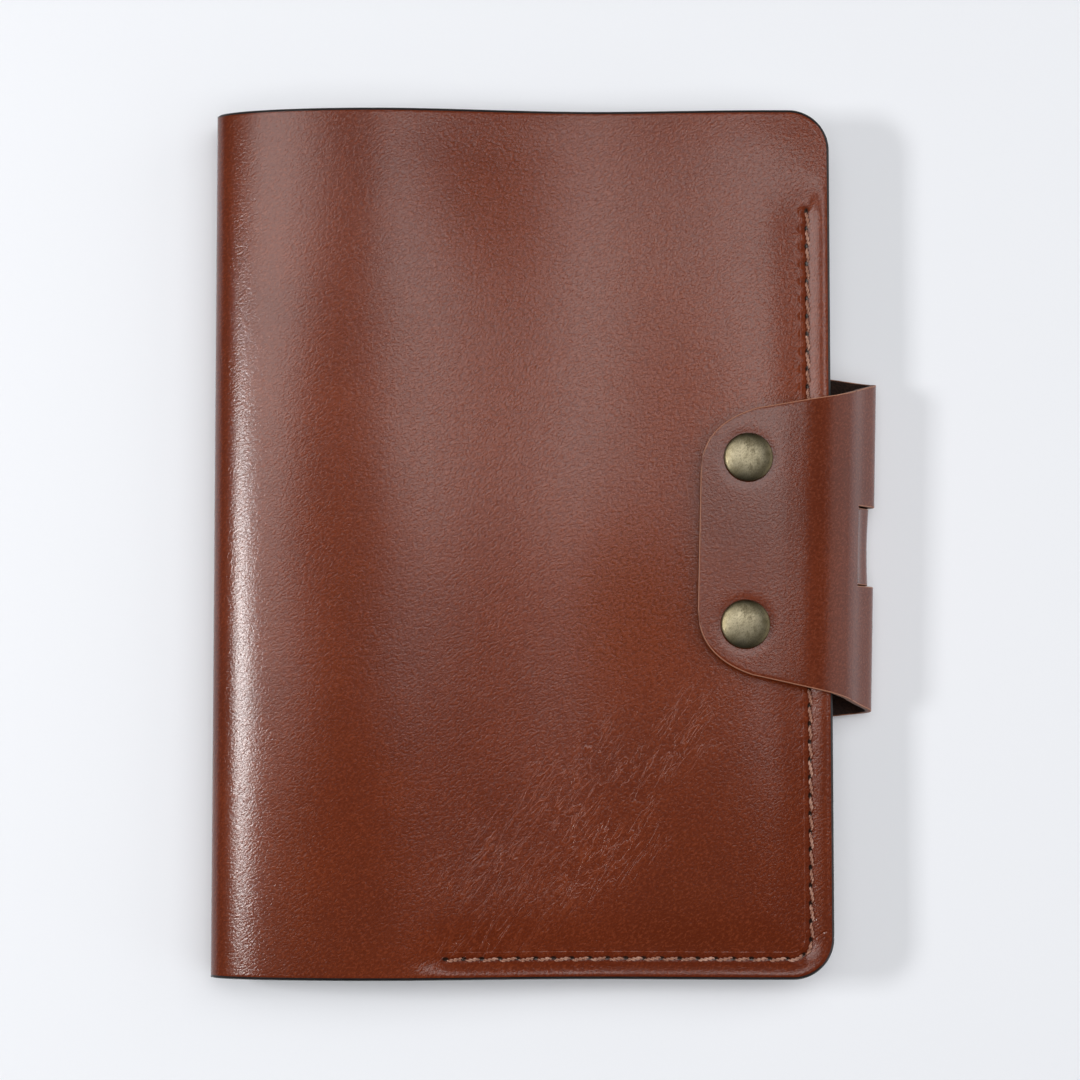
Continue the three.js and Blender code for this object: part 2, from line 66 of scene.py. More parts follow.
COVER_LEATHER = 2.0 * MM
POCKET_LEATHER = 1.2 * MM
TAB_LEATHER = 1.6 * MM
CORNER_RADIUS = 10.5 * MM
CORNER_Y = HALF_HEIGHT - CORNER_RADIUS  # where the straight edge ends
LOWER_BEND = mm(14, 11)  # width and height of the bend from back panel to spine
UPPER_BEND = (41.4 * MM, CREST_Z - LOWER_BEND[1])  # and from spine to front panel
LAYER_GAP = 0.05 * MM  # between leathers that lie on each other
HILL_HEIGHT = 0.32 * MM
HILL_FADE = 14 * MM  # how far in from the outline the panels' unevenness is full

SEAM_SIDE_X = FORE_EDGE_X - 5.7 * MM
SEAM_BOTTOM_Y = -HALF_HEIGHT + 5.1 * MM
SEAM_TOP_Y = 84.7 * MM
SEAM_LEFT_X = -25.1 * MM
SEAM_CORNER = 5 * MM
STITCH_LENGTH = 4.55 * MM  # before it is fitted to the seam
BOTTOM_RUN = SEAM_SIDE_X - SEAM_CORNER - SEAM_LEFT_X
CORNER_RUN = SEAM_CORNER * QUARTER
SIDE_RUN = SEAM_TOP_Y - SEAM_BOTTOM_Y - SEAM_CORNER
SEAM_LENGTH = BOTTOM_RUN + CORNER_RUN + SIDE_RUN
STITCH_COUNT = round(SEAM_LENGTH / STITCH_LENGTH)
STITCH_PITCH = SEAM_LENGTH / STITCH_COUNT
POCKET_LEFT_X = -29.5 * MM
POCKET_TOP_Y = 88 * MM
TINY = 1e-9

TAB_YAW = radians(-1.3)
TAB_ORIGIN = Vector((FORE_EDGE_X, -0.9 * MM, 0))
TAB_FRAME = Matrix.Translation(TAB_ORIGIN) @ Matrix.Rotation(TAB_YAW, 4, "Z")
SNAP_INSET = -22 * MM
SNAP_SPACING = 42.3 * MM


# ---- curves ----
def clamped_spline(knots, start_slope, end_slope):
    """A smooth height over x through the knots, as a function of x."""
    xs, zs = np.array(knots, float).T
    h = np.diff(xs)
    slope = np.diff(zs) / h
    n = len(xs)
    a = np.zeros((n, n))
    b = np.zeros(n)
    a[0, :2] = (2 * h[0], h[0])
    b[0] = 6 * (slope[0] - start_slope)
    a[-1, -2:] = (h[-1], 2 * h[-1])
    b[-1] = 6 * (end_slope - slope[-1])
    for i in range(1, n - 1):
        a[i, i - 1 : i + 2] = (h[i - 1], 2 * (h[i - 1] + h[i]), h[i])
        b[i] = 6 * (slope[i] - slope[i - 1])
    bend = np.linalg.solve(a, b)

    def height(x):
        i = np.clip(np.searchsorted(xs, x) - 1, 0, n - 2)
        left, right = xs[i + 1] - x, x - xs[i]
        cubic = (bend[i] * left**3 + bend[i + 1] * right**3) / (6 * h[i])
        low = (zs[i] / h[i] - bend[i] * h[i] / 6) * left
        high = (zs[i + 1] / h[i] - bend[i + 1] * h[i] / 6) * right
        return cubic + low + high

    return height


def smooth_step(value, low, high):
    t = np.clip((value - low) / (high - low), 0, 1)
    return t * t * (3 - 2 * t)


def interpolated(s, known_s, pairs):
    return np.stack([np.interp(s, known_s, pairs[:, k]) for k in (0, 1)], -1)


class Line:
    """A line in the XZ plane, read by the distance travelled along it. Its outer side is
    on the left of the direction of travel."""

    STEP = 0.25 * MM

    def __init__(self, points, softening=0.0):
        points = np.array(points, float)
        s = self._travelled(points)
        regular = np.linspace(0, s[-1], int(s[-1] / self.STEP) + 1)
        points = interpolated(regular, s, points)
        if softening:
            reach = int(3 * softening / self.STEP)
            weights = np.exp(-0.5 * (np.arange(-reach, reach + 1) * self.STEP / softening) ** 2)
            weights /= weights.sum()
            first = 2 * points[0] - points[reach:0:-1]
            last = 2 * points[-1] - points[-2 : -reach - 2 : -1]
            padded = np.concatenate([first, points, last])
            points = np.stack([np.convolve(padded[:, k], weights, "valid") for k in (0, 1)], -1)
        self.points = points
        self.s = self._travelled(points)
        along = np.gradient(points, self.s, axis=0)
        self.along = along / norm(along, axis=1)[:, None]
        self.length = self.s[-1]

    @staticmethod
    def _travelled(points):
        return np.concatenate([[0], np.cumsum(norm(np.diff(points, axis=0), axis=1))])

    def at(self, s):
        """Places and outward normals, each as an array of x and one of z."""
        place = interpolated(s, self.s, self.points)
        along = interpolated(s, self.s, self.along)
        along /= norm(along, axis=-1, keepdims=True)
        return place.T, (-along[:, 1], along[:, 0])


# ---- the cover's outer line: back fore-edge, spine, front fore-edge ----
def quarter_ellipse(centre, size, start, end, steps=80):
    turn = np.linspace(start, end, steps + 1)
    return np.stack([centre[0] + size[0] * np.cos(turn), centre[1] + size[1] * np.sin(turn)], -1)


LOWER_START = (SPINE_X + LOWER_BEND[0], 0.0)
CREST = (SPINE_X + UPPER_BEND[0], CREST_Z)
FRONT_KNOTS = (  # the empty cover sags between its crest and its fore-edge
    CREST,
    (CREST[0] + 12 * MM, CREST_Z - 0.6 * MM),
    mm(8.6, 17.0),
    mm(50, 18.9),
    (FORE_EDGE_X, 18.8 * MM),
)
front_height = clamped_spline(FRONT_KNOTS, start_slope=0.0, end_slope=-0.02)
front_x = np.linspace(CREST[0], FORE_EDGE_X, 300)[1:]
lower_arc = quarter_ellipse((LOWER_START[0], LOWER_BEND[1]), LOWER_BEND, -QUARTER, -2 * QUARTER)
upper_arc = quarter_ellipse((CREST[0], LOWER_BEND[1]), UPPER_BEND, 2 * QUARTER, QUARTER)
front_points = np.stack([front_x, front_height(front_x)], -1)
cover_points = np.concatenate([[(FORE_EDGE_X, 0.0)], lower_arc, upper_arc[1:], front_points])
COVER_LINE = Line(cover_points, softening=1.2 * MM)
TURN_S = float(COVER_LINE.s[np.argmin(COVER_LINE.points[:, 0])])


def front_s_at(x):
    """The distance at which the cover's line passes x, on its way from the spine's leftmost
    line to the front's fore-edge."""
    front = COVER_LINE.s >= TURN_S
    return np.interp(x, COVER_LINE.points[front, 0], COVER_LINE.s[front])


# ---- meshes from sheets of leather ----
def even(start, end, step):
    """Evenly spaced values from start to end, no further apart than step."""
    return np.linspace(start, end, max(1, ceil(abs(end - start) / step)) + 1)


def joined(*runs):
    """Runs of values joined end to end, with each shared end kept once."""
    return np.concatenate([runs[0]] + [run[1:] for run in runs[1:]])


def round_corners(plan, edge_s, outward, corner_ys):
    """Bends the square corners of a grid into quarter discs, where the edge at edge_s meets
    each of corner_ys. outward is 1 if s grows towards that edge, and -1 if it falls."""
    bent = plan.copy()
    for y_edge in corner_ys:
        centre_s = edge_s - outward * CORNER_RADIUS
        centre_y = y_edge - copysign(CORNER_RADIUS, y_edge)
        a = (plan[..., 0] - centre_s) / (edge_s - centre_s)
        b = (plan[..., 1] - centre_y) / (y_edge - centre_y)
        inside = (a > 0) & (b > 0)
        a, b = a[inside], b[inside]
        reach = np.maximum(a, b)
        share = np.where(a >= b, b / np.maximum(a, TINY), 2 - a / np.maximum(b, TINY))
        angle = share * (QUARTER / 2)
        bent[inside, 0] = centre_s + (edge_s - centre_s) * reach * np.cos(angle)
        bent[inside, 1] = centre_y + (y_edge - centre_y) * reach * np.sin(angle)
    return bent


def edge_rows(thickness, radius, steps=3):
    """How far in from the outline and how deep each row of the rounded edge lies."""
    turn = np.linspace(0, QUARTER, steps + 1)
    quarter = [(radius * (1 - sin(t)), radius * (1 - cos(t))) for t in turn]
    return quarter + [(inset, thickness - depth) for inset, depth in reversed(quarter)]


def boundary_edges(keep):
    """Edges of the kept cells that have no kept neighbour, each with the cell on its left.
    Corners are (i, j) pairs."""
    ni, nj = keep.shape
    kept = np.zeros((ni + 2, nj + 2), bool)
    kept[1:-1, 1:-1] = keep
    edges = []
    for i, j in zip(*np.nonzero(keep)):
        ring = ((i, j), (i + 1, j), (i + 1, j + 1), (i, j + 1))
        beside = ((i, j - 1), (i + 1, j), (i, j + 1), (i - 1, j))
        for k in range(4):
            if not kept[beside[k][0] + 1, beside[k][1] + 1]:
                edges.append((ring[k], ring[(k + 1) % 4]))
    return edges


OUTER, EDGE, INNER = 0, 1, 2  # material slots of a sheet


def plain_cut(cut_s):
    """A test for the plan points on a cut straight across the sheet at cut_s."""

    def on_cut(plan):
        return np.abs(plan[:, 0] - cut_s) < TINY

    return on_cut


def leather_sheet(name, plan, place, thickness, edge_radius, materials, keep=None, square=None):
    """A closed sheet over a grid of plan coordinates (s, y). place turns plan coordinates
    and depths below the outer face into points. square says which plan points have a plain
    cut edge, and the rest have a rounded one. materials are for the outer face, the edge
    and the inner face."""
    ni, nj = plan.shape[:2]
    keep = np.ones((ni - 1, nj - 1), bool) if keep is None else keep
    edges = boundary_edges(keep)
    inward = {}
    for a, b in edges:
        along = plan[b] - plan[a]
        left = np.array([-along[1], along[0]]) / max(norm(along), TINY)
        for corner in (a, b):
            inward.setdefault(corner, []).append(left)
    used = np.zeros((ni, nj), bool)
    for di in (0, 1):
        for dj in (0, 1):
            used[di : ni - 1 + di, dj : nj - 1 + dj] |= keep
    index = np.full((ni, nj), -1)
    index[used] = np.arange(used.sum())
    count = int(used.sum())

    rows = edge_rows(thickness, edge_radius)
    rim = sorted(inward)
    rim_index = {corner: k for k, corner in enumerate(rim)}
    direction = np.zeros((len(rim), 2))
    for corner, lefts in inward.items():
        mean = np.sum(lefts, axis=0)
        direction[rim_index[corner]] = mean / max(norm(mean), TINY)
    rim_plan = np.array([plan[corner] for corner in rim])
    if square is not None:
        direction[square(rim_plan)] = 0

    face_plan = plan.copy()
    for corner, k in rim_index.items():
        face_plan[corner] = rim_plan[k] + direction[k] * edge_radius
    flat = face_plan[used]
    plans = [flat, flat]
    depths = [np.zeros(count), np.full(count, thickness)]
    for inset, depth in rows[1:-1]:
        plans.append(rim_plan + direction * inset)
        depths.append(np.full(len(rim), depth))
    plans = np.concatenate(plans)
    depths = np.concatenate(depths)
    points = place(plans, depths)

    def row_vertex(row, corner):
        if row == 0:
            return index[corner]
        if row == len(rows) - 1:
            return count + index[corner]
        return 2 * count + (row - 1) * len(rim) + rim_index[corner]

    i, j = np.nonzero(keep)
    quads = np.stack([index[i, j], index[i + 1, j], index[i + 1, j + 1], index[i, j + 1]], -1)
    faces = quads.tolist() + (quads[:, ::-1] + count).tolist()
    slots = [OUTER] * len(quads) + [INNER] * len(quads)
    for a, b in edges:
        for row in range(len(rows) - 1):
            ring = ((row, b), (row, a), (row + 1, a), (row + 1, b))
            faces.append([row_vertex(*corner) for corner in ring])
            slots.append(EDGE)
    piece = new_mesh(name, points, faces, materials, slots)
    store_vectors(piece, "sheet", np.column_stack([plans, depths]))
    return piece


SHARP_ANGLE = radians(50)


def new_object(name, data):
    item = bpy.data.objects.new(name, data)
    bpy.context.scene.collection.objects.link(item)
    return item


def new_mesh(name, points, faces, materials, slots=None, sharp_angle=SHARP_ANGLE):
    mesh = bpy.data.meshes.new(name)
    mesh.from_pydata(np.asarray(points).tolist(), [], faces)
    for material in materials:
        mesh.materials.append(material)
    if slots is not None:
        mesh.polygons.foreach_set("material_index", slots)
    mesh.shade_smooth()
    mesh.set_sharp_from_angle(angle=sharp_angle)
    return new_object(name, mesh)


def store_vectors(piece, name, values):
    attribute = piece.data.attributes.new(name, "FLOAT_VECTOR", "POINT")
    attribute.data.foreach_set("vector", np.asarray(values, np.float32).ravel())


def stored_vectors(piece, name):
    values = np.zeros(len(piece.data.vertices) * 3, np.float32)
    piece.data.attributes[name].data.foreach_get("vector", values)
    return values.reshape(-1, 3)


def matching_normals(piece):
    """Gives the points on the cover's plain cut the line's own normals, so that the two
    hides that meet there shade as one."""
    mesh = piece.data
    _, ((normal_x,), (normal_z,)) = COVER_LINE.at(np.array([TURN_S]))
    outward = np.array([normal_x, 0, normal_z])
    loop_vertex = np.zeros(len(mesh.loops), int)
    mesh.loops.foreach_get("vertex_index", loop_vertex)
    float32_error = 1e-6
    near = np.abs(stored_vectors(piece, "sheet")[loop_vertex, 0] - TURN_S) < float32_error
    slots = np.repeat(
        [polygon.material_index for polygon in mesh.polygons],
        [polygon.loop_total for polygon in mesh.polygons],
    )
    normals = np.zeros((len(mesh.loops), 3))
    normals[near & (slots == OUTER)] = outward
    normals[near & (slots == INNER)] = -outward
    mesh.normals_split_custom_set(normals.tolist())


# ---- materials ----
class Nodes:
    """A short way to write a material's nodes. An input may be a value or an output."""

    def __init__(self, name):
        self.material = bpy.data.materials.new(name)
        self.material.use_nodes = True
        self.tree = self.material.node_tree
        self.tree.nodes.clear()
        self.output = self.tree.nodes.new("ShaderNodeOutputMaterial")

    def add(self, kind, settings=None, **inputs):
        node = self.tree.nodes.new("ShaderNode" + kind)
        for key, value in (settings or {}).items():
            setattr(node, key, value)
        for key, value in inputs.items():
            self.put(node.inputs[key.replace("_", " ")], value)
        return node

    def put(self, socket, value):
        if isinstance(value, bpy.types.NodeSocket):
            self.tree.links.new(value, socket)
        else:
            socket.default_value = value

    def math(self, operation, *values):
        node = self.add("Math", {"operation": operation})
        for socket, value in zip(node.inputs, values):
            self.put(socket, value)
        return node.outputs[0]

    def plus(self, a, b):
        return self.math("ADD", a, b)

    def minus(self, a, b):
        return self.math("SUBTRACT", a, b)

    def times(self, a, b):
        return self.math("MULTIPLY", a, b)

    def over(self, a, b):
        return self.math("DIVIDE", a, b)

    def squares(self, a, b):
        """The sum of two squares."""
        return self.plus(self.math("POWER", a, 2.0), self.math("POWER", b, 2.0))

    def stored(self, name):
        return self.add("Attribute", {"attribute_name": name}).outputs["Vector"]

    def parts(self, vector):
        return self.add("SeparateXYZ", Vector=vector).outputs

    def noise(self, where, scale, detail=3.0, roughness=0.55, distortion=0.0):
        node = self.add("TexNoise", Vector=where, Scale=scale, Detail=detail)
        self.put(node.inputs["Roughness"], roughness)
        self.put(node.inputs["Distortion"], distortion)
        return node.outputs["Fac"]

    def turned(self, where, direction):
        return self.add("Mapping", Vector=where, Rotation=(0, 0, -direction)).outputs["Vector"]

    def vector_math(self, operation, *values):
        node = self.add("VectorMath", {"operation": operation})
        for socket, value in zip(node.inputs, values):
            self.put(socket, value)
        return node.outputs["Value" if operation == "LENGTH" else "Vector"]

    def stretched(self, where, direction, along, across):
        """Coordinates in cells, along the direction and across it."""
        turned = self.turned(where, direction)
        return self.vector_math("MULTIPLY", turned, (along, across, across))

    def from_place(self, where, x, y):
        """Sheet coordinates measured from a place on the front."""
        return self.vector_math("SUBTRACT", where, (front_s_at(x), y, 0))

    def between(self, value, low, high, out_low=0.0, out_high=1.0):
        node = self.add("MapRange", {"interpolation_type": "SMOOTHSTEP"}, Value=value)
        ends = {"From Min": low, "From Max": high, "To Min": out_low, "To Max": out_high}
        for key, number in ends.items():
            node.inputs[key].default_value = number
        return node.outputs["Result"]

    def mix(self, share, a, b):
        node = self.add("Mix", {"data_type": "RGBA"})
        for key, value in (("Factor", share), ("A", a), ("B", b)):
            socket = next(s for s in node.inputs if s.name == key and s.enabled)
            self.put(socket, value)
        return next(s for s in node.outputs if s.enabled)

    def bump(self, height, distance, strength=1.0, before=None):
        node = self.add("Bump", Height=height, Distance=distance, Strength=strength)
        if before is not None:
            self.put(node.inputs["Normal"], before)
        return node.outputs["Normal"]

    def finish(self, **inputs):
        shader = self.add("BsdfPrincipled")
        for key, value in inputs.items():
            self.put(shader.inputs[key.replace("_", " ")], value)
        self.tree.links.new(shader.outputs[0], self.output.inputs["Surface"])
        return self.material


def rgb(red, green, blue):
    return (red, green, blue, 1.0)


COAT_ROUGHNESS = 0.195  # the waxed finish
GRAIN_TURN = radians(35)
GRAIN_CELLS = (1150, 1850)  # per metre, along the grain's direction and across it
GRAIN_BUMP = 0.06 * MM
# the scales of the leather's other noises, in cells per metre
CLOUD_SCALE = 22
CREASE_PATCH_SCALE = 55
PATCH_SCALE = 70
SWELL_SCALE = 150
SPECK_SCALE = 1500
FINE_SCALE = 2600
CREASE_CELLS = (85, 400)
CREASE_CENTRE = mm(6, -72)
CREASE_BAND_TURN = radians(43)
CREASE_TURN = radians(57)
CREASE_REACH = mm(66, 27)  # along the creased band and across it
CREASE_BUMP = 0.06 * MM
NICK = mm(69.6, -99.6)
NICK_TURN = radians(33)
NICK_REACH = mm(1.9, 0.42)
NICK_DEPTH = 0.22 * MM
PAINTED_LIGHT_CENTRE = mm(24, 30)  # middle of the front's painted light
PAINTED_LIGHT_REACH = mm(105, 95)


def grained_leather(
    name, base, dark, light, seam=False, creases=False,
    cells=GRAIN_CELLS, grain_bump=GRAIN_BUMP, coat=COAT_ROUGHNESS,
):
    """Full-grain leather: a fine pebble grain, cloudy colour, and a waxed sheen that varies
    with the handling. The grain's own tone is mixed with painted shade in its valleys and a
    painted highlight on its ridges; with creases, the front also gets painted light and shade."""
    n = Nodes(name)
    where = n.stored("sheet")
    cloud = n.noise(where, CLOUD_SCALE, detail=5, roughness=0.6)
    patch = n.noise(where, PATCH_SCALE)
    speck = n.noise(where, SPECK_SCALE, detail=2)
    color = n.mix(n.between(cloud, 0.30, 0.70, 0.35, 1.0), dark, base)
    color = n.mix(n.between(patch, 0.50, 0.80, 0, 0.16), color, light)
    color = n.mix(n.between(speck, 0.45, 0.75, 0, 0.45), color, dark)
    if creases:
        color = add_painted_light_and_shade(n, where, color, light, dark)
    grain = n.noise(n.stretched(where, GRAIN_TURN, *cells), 1.0, 2, 0.5, 0.7)
    # partly the grain's own tone, partly painted shade in its valleys and a painted highlight on
    # its ridges
    color = n.mix(n.between(grain, 0.54, 0.36, 0, 0.60), color, dark)
    color = n.mix(n.between(grain, 0.52, 0.68, 0, 0.42), color, light)
    normal = n.bump(n.noise(where, SWELL_SCALE), 0.03 * MM, 0.6)
    normal = n.bump(grain, grain_bump, 1.0, normal)
    normal = n.bump(n.noise(where, FINE_SCALE, detail=2), 0.01 * MM, 0.8, normal)
    roughness = n.plus(n.between(cloud, 0.3, 0.7, 0.52, 0.44), n.between(patch, 0.3, 0.7, 0, 0.04))
    if creases:
        color, normal = add_creases(n, where, color, normal, light)
    if seam:
        color, normal = add_seam_marks(n, color, normal, dark, light)
    wax = dict(Coat_Weight=0.8, Coat_Roughness=coat, Coat_Normal=normal)
    body = dict(IOR=1.45, Specular_IOR_Level=0.3, Specular_Tint=rgb(1.0, 0.34, 0.16))
    return n.finish(Base_Color=color, Roughness=roughness, Normal=normal, **body, **wax)


def add_painted_light_and_shade(n, where, color, light, dark):
    """Painted light and shade: the hide is made lighter over the front's lit middle, and
    darker towards the lower outer corner as painted shade.
    """
    right, up, _ = n.parts(n.from_place(where, *PAINTED_LIGHT_CENTRE))
    across = n.over(right, PAINTED_LIGHT_REACH[0])
    up = n.over(up, PAINTED_LIGHT_REACH[1])
    # painted light over the lit middle of the front
    painted_light = n.between(n.squares(across, up), 1.0, 0.0, 0, 0.42)
    # corner carries the painted shade towards the lower outer corner
    corner = n.minus(n.times(across, 0.6), up)
    return n.mix(n.between(corner, 0.9, 2.2, 0, 0.7), n.mix(painted_light, color, light), dark)


def add_creases(n, where, color, normal, light):
    """Fine pull-up creases that run diagonally through the lower middle of the panel."""
    middle = n.from_place(where, *CREASE_CENTRE)
    along, across, _ = n.parts(n.turned(middle, CREASE_BAND_TURN))
    reach = n.squares(n.over(along, CREASE_REACH[0]), n.over(across, CREASE_REACH[1]))
    patches = n.noise(where, CREASE_PATCH_SCALE, detail=4)
    worn = n.times(n.between(reach, 1.0, 0.0), n.between(patches, 0.34, 0.60))
    lines = n.noise(n.stretched(where, CREASE_TURN, *CREASE_CELLS), 1.0, 3, 0.55, 0.8)
    ridge = n.math("ABSOLUTE", n.minus(lines, 0.5))
    crease = n.times(n.between(ridge, 0.045, 0.0), worn)
    normal = n.bump(crease, CREASE_BUMP, 1.0, normal)
    color = n.mix(n.times(crease, 0.46), color, light)
    return add_nick(n, where, color, normal, light)


def add_nick(n, where, color, normal, light):
    """A short shiny nick between the corner stitch and the edge."""
    place = n.stretched(n.from_place(where, *NICK), NICK_TURN, *(1 / r for r in NICK_REACH))
    nick = n.between(n.vector_math("LENGTH", place), 1.0, 0.0)
    normal = n.bump(nick, -NICK_DEPTH, 1.0, normal)
    return n.mix(n.times(nick, 0.6), color, light), normal


# places across the seam are distances in from it, towards the middle of the panel
HOLE_IN = 0.22 * MM
HOLE_RADII = mm(0.62, 0.36)  # where its shade starts and where it is full
HOLE_SLIMNESS = 0.62  # the awl's cut is longer along the seam
PUCKER_IN = 1.1 * MM
PUCKER_RADII = mm(1.7, 0.2)
PUCKER_DEPTH = 0.12 * MM
GUIDE_IN = 1.75 * MM
GUIDE_HALF_WIDTH = 0.20 * MM
GUIDE_HEIGHT = 0.04 * MM
PAINTED_SHADE_HALF_WIDTHS = mm(1.0, 0.3)  # of the painted shade under the thread
# the painted shade in the awl holes
PAINTED_HOLE_SHADE_COLOR = (0.006, 0.003, 0.002)


def add_seam_marks(n, color, normal, dark, light):
    """Awl holes painted as near black shade, the leather puckered round them with painted
    shade in the dimples, painted shade under the thread, and a creased guide line beside them.
    """
    along, across, _ = n.parts(n.stored("seam"))
    phase = n.minus(n.math("FRACT", n.plus(n.over(along, STITCH_PITCH), 0.5)), 0.5)
    off = n.times(phase, STITCH_PITCH)
    begun = n.between(along, -2 * MM, -1 * MM)
    present = n.times(begun, n.between(along, SEAM_LENGTH + 2 * MM, SEAM_LENGTH + 1 * MM))

    def mark(value, outer, inner=0.0):
        return n.times(n.between(value, outer, inner), present)

    from_hole = n.math("SQRT", n.squares(n.times(off, HOLE_SLIMNESS), n.plus(across, HOLE_IN)))
    painted_hole_shade = mark(from_hole, *HOLE_RADII)
    pucker_and_painted_shade = mark(n.math("SQRT", n.squares(off, n.plus(across, PUCKER_IN))), *PUCKER_RADII)
    guide = mark(n.math("ABSOLUTE", n.plus(across, GUIDE_IN)), GUIDE_HALF_WIDTH)
    painted_shade_under_thread = mark(n.math("ABSOLUTE", across), *PAINTED_SHADE_HALF_WIDTHS)
    normal = n.bump(pucker_and_painted_shade, -PUCKER_DEPTH, 1.0, normal)
    normal = n.bump(guide, GUIDE_HEIGHT, 0.8, normal)
    color = n.mix(n.times(guide, 0.35), color, light)
    # painted shade under the thread and in the puckers, and the awl holes painted as near black
    # shade
    color = n.mix(n.times(painted_shade_under_thread, 0.75), color, dark)
    color = n.mix(n.times(pucker_and_painted_shade, 0.35), color, dark)
    return n.mix(painted_hole_shade, color, rgb(*PAINTED_HOLE_SHADE_COLOR)), normal


def painted_edge(name, color):
    """Edge paint, burnished over the cut fibres."""
    n = Nodes(name)
    where = n.stored("sheet")
    fibre = n.noise(where, 1400)
    wear = n.noise(where, 260)
    shade = n.mix(n.between(wear, 0.55, 0.75, 0, 0.5), color, rgb(0.035, 0.018, 0.012))
    roughness = n.between(wear, 0.3, 0.7, 0.35, 0.55)
    return n.finish(Base_Color=shade, Roughness=roughness, Normal=n.bump(fibre, 0.06 * MM, 0.6))


def raw_edge(name, outer, core):
    """A burnished but unpainted edge: the cut fibres show their own brown."""
    n = Nodes(name)
    where = n.stored("sheet")
    _, _, depth = n.parts(where)
    layers = n.noise(n.stretched(where, 0, 1, 4), 500, detail=4)
    core_share = n.times(n.between(depth, 0.1 * MM, 0.6 * MM), n.between(layers, 0.3, 0.6))
    color = n.mix(core_share, outer, core)
    return n.finish(Base_Color=color, Roughness=0.6, Normal=n.bump(layers, 0.08 * MM, 0.7))


def flesh_side(name, base, dark):
    """The napped flesh side of the leather."""
    n = Nodes(name)
    where = n.stored("sheet")
    nap = n.noise(n.stretched(where, 0.4, 1, 1.8), 1300, detail=5, roughness=0.7)
    cloud = n.noise(where, 60, detail=4)
    color = n.mix(n.between(nap, 0.35, 0.7), dark, base)
    color = n.mix(n.between(cloud, 0.45, 0.7, 0, 0.5), color, dark)
    roughness = n.between(nap, 0.3, 0.7, 0.95, 0.82)
    normal = n.bump(nap, 0.25 * MM, 0.8)
    return n.finish(Base_Color=color, Roughness=roughness, Normal=normal, Sheen_Weight=0.12)


def waxed_thread(name):
    """Dark linen fibre, pale where the wax is rubbed."""
    n = Nodes(name)
    where = n.add("TexCoord").outputs["Object"]
    fibre = n.noise(where, 5200)
    wear = n.noise(where, 300, detail=2)
    color = n.mix(n.between(fibre, 0.3, 0.7), rgb(0.13, 0.045, 0.026), rgb(0.50, 0.25, 0.17))
    color = n.mix(n.between(wear, 0.45, 0.7, 0, 0.5), color, rgb(0.62, 0.38, 0.29))
    roughness = n.between(fibre, 0.3, 0.7, 0.42, 0.6)
    return n.finish(Base_Color=color, Roughness=roughness, Normal=n.bump(fibre, 0.06 * MM, 0.8))


CAP_RADIUS = 6.25 * MM


def antique_brass(name, centre_color, edge_color, deep_color):
    """Brass that has been blackened and rubbed back, so its high middle is palest."""
    n = Nodes(name)
    where = n.stored("around")
    x, y, _ = n.parts(where)
    radius = n.math("SQRT", n.squares(x, y))
    blotch = n.noise(where, 380, detail=7, roughness=0.72)
    speck = n.noise(n.stretched(where, 1.2, 1800, 4200), 1.0, detail=4, roughness=0.65)
    cloud = n.noise(where, 230)
    reach = n.plus(n.over(radius, CAP_RADIUS), n.times(cloud, 0.5))
    color = n.mix(n.between(reach, 0.75, 1.3), centre_color, edge_color)
    color = n.mix(n.between(blotch, 0.44, 0.70, 0, 0.80), color, edge_color)
    color = n.mix(n.between(speck, 0.46, 0.72, 0, 0.60), color, deep_color)
    roughness = n.plus(n.between(blotch, 0.3, 0.7, 0.36, 0.50), n.between(speck, 0.5, 0.8, 0, 0.1))
    normal = n.bump(blotch, 0.05 * MM, 0.5)
    normal = n.bump(speck, 0.02 * MM, 0.5, normal)
    return n.finish(Base_Color=color, Roughness=roughness, Metallic=1.0, Normal=normal)


def table_top(name):
    n = Nodes(name)
    where = n.add("TexCoord").outputs["Object"]
    cloud = n.noise(where, 3.0, detail=2)
    color = n.mix(cloud, rgb(0.83, 0.845, 0.88), rgb(0.85, 0.865, 0.90))
    normal = n.bump(n.noise(where, 900, detail=2), 0.03 * MM, 0.3)
    return n.finish(Base_Color=color, Roughness=0.6, Normal=normal)


# ---- the seam: an L along the bottom and up the fore-edge, travelled left to right ----
def seam_point(along, across):
    """Plan places (x, y) from distances along the seam and across it, outwards positive."""
    turn = np.clip((along - BOTTOM_RUN) / SEAM_CORNER, 0, QUARTER)
    centre_x = SEAM_SIDE_X - SEAM_CORNER
    centre_y = SEAM_BOTTOM_Y + SEAM_CORNER
    straight_x = np.minimum(along - BOTTOM_RUN, 0)
    straight_y = np.maximum(along - BOTTOM_RUN - CORNER_RUN, 0)
    reach = SEAM_CORNER + across
    x = centre_x + straight_x + reach * np.sin(turn)
    return np.stack([x, centre_y + straight_y - reach * np.cos(turn)], -1)


def seam_coordinates(x, y):
    """Distances along and across the seam from plan places: the other way round."""
    right = x - (SEAM_SIDE_X - SEAM_CORNER)
    below = (SEAM_BOTTOM_Y + SEAM_CORNER) - y
    corner = (right > 0) & (below > 0)
    angle = np.arctan2(np.maximum(right, 0), np.maximum(below, TINY))
    on_side = np.abs(right - SEAM_CORNER) < np.abs(below - SEAM_CORNER)
    along = np.where(on_side, BOTTOM_RUN + CORNER_RUN - below, BOTTOM_RUN + right)
    across = np.where(on_side, right - SEAM_CORNER, below - SEAM_CORNER)
    along = np.where(corner, BOTTOM_RUN + SEAM_CORNER * angle, along)
    across = np.where(corner, np.hypot(right, below) - SEAM_CORNER, across)
    return along, across


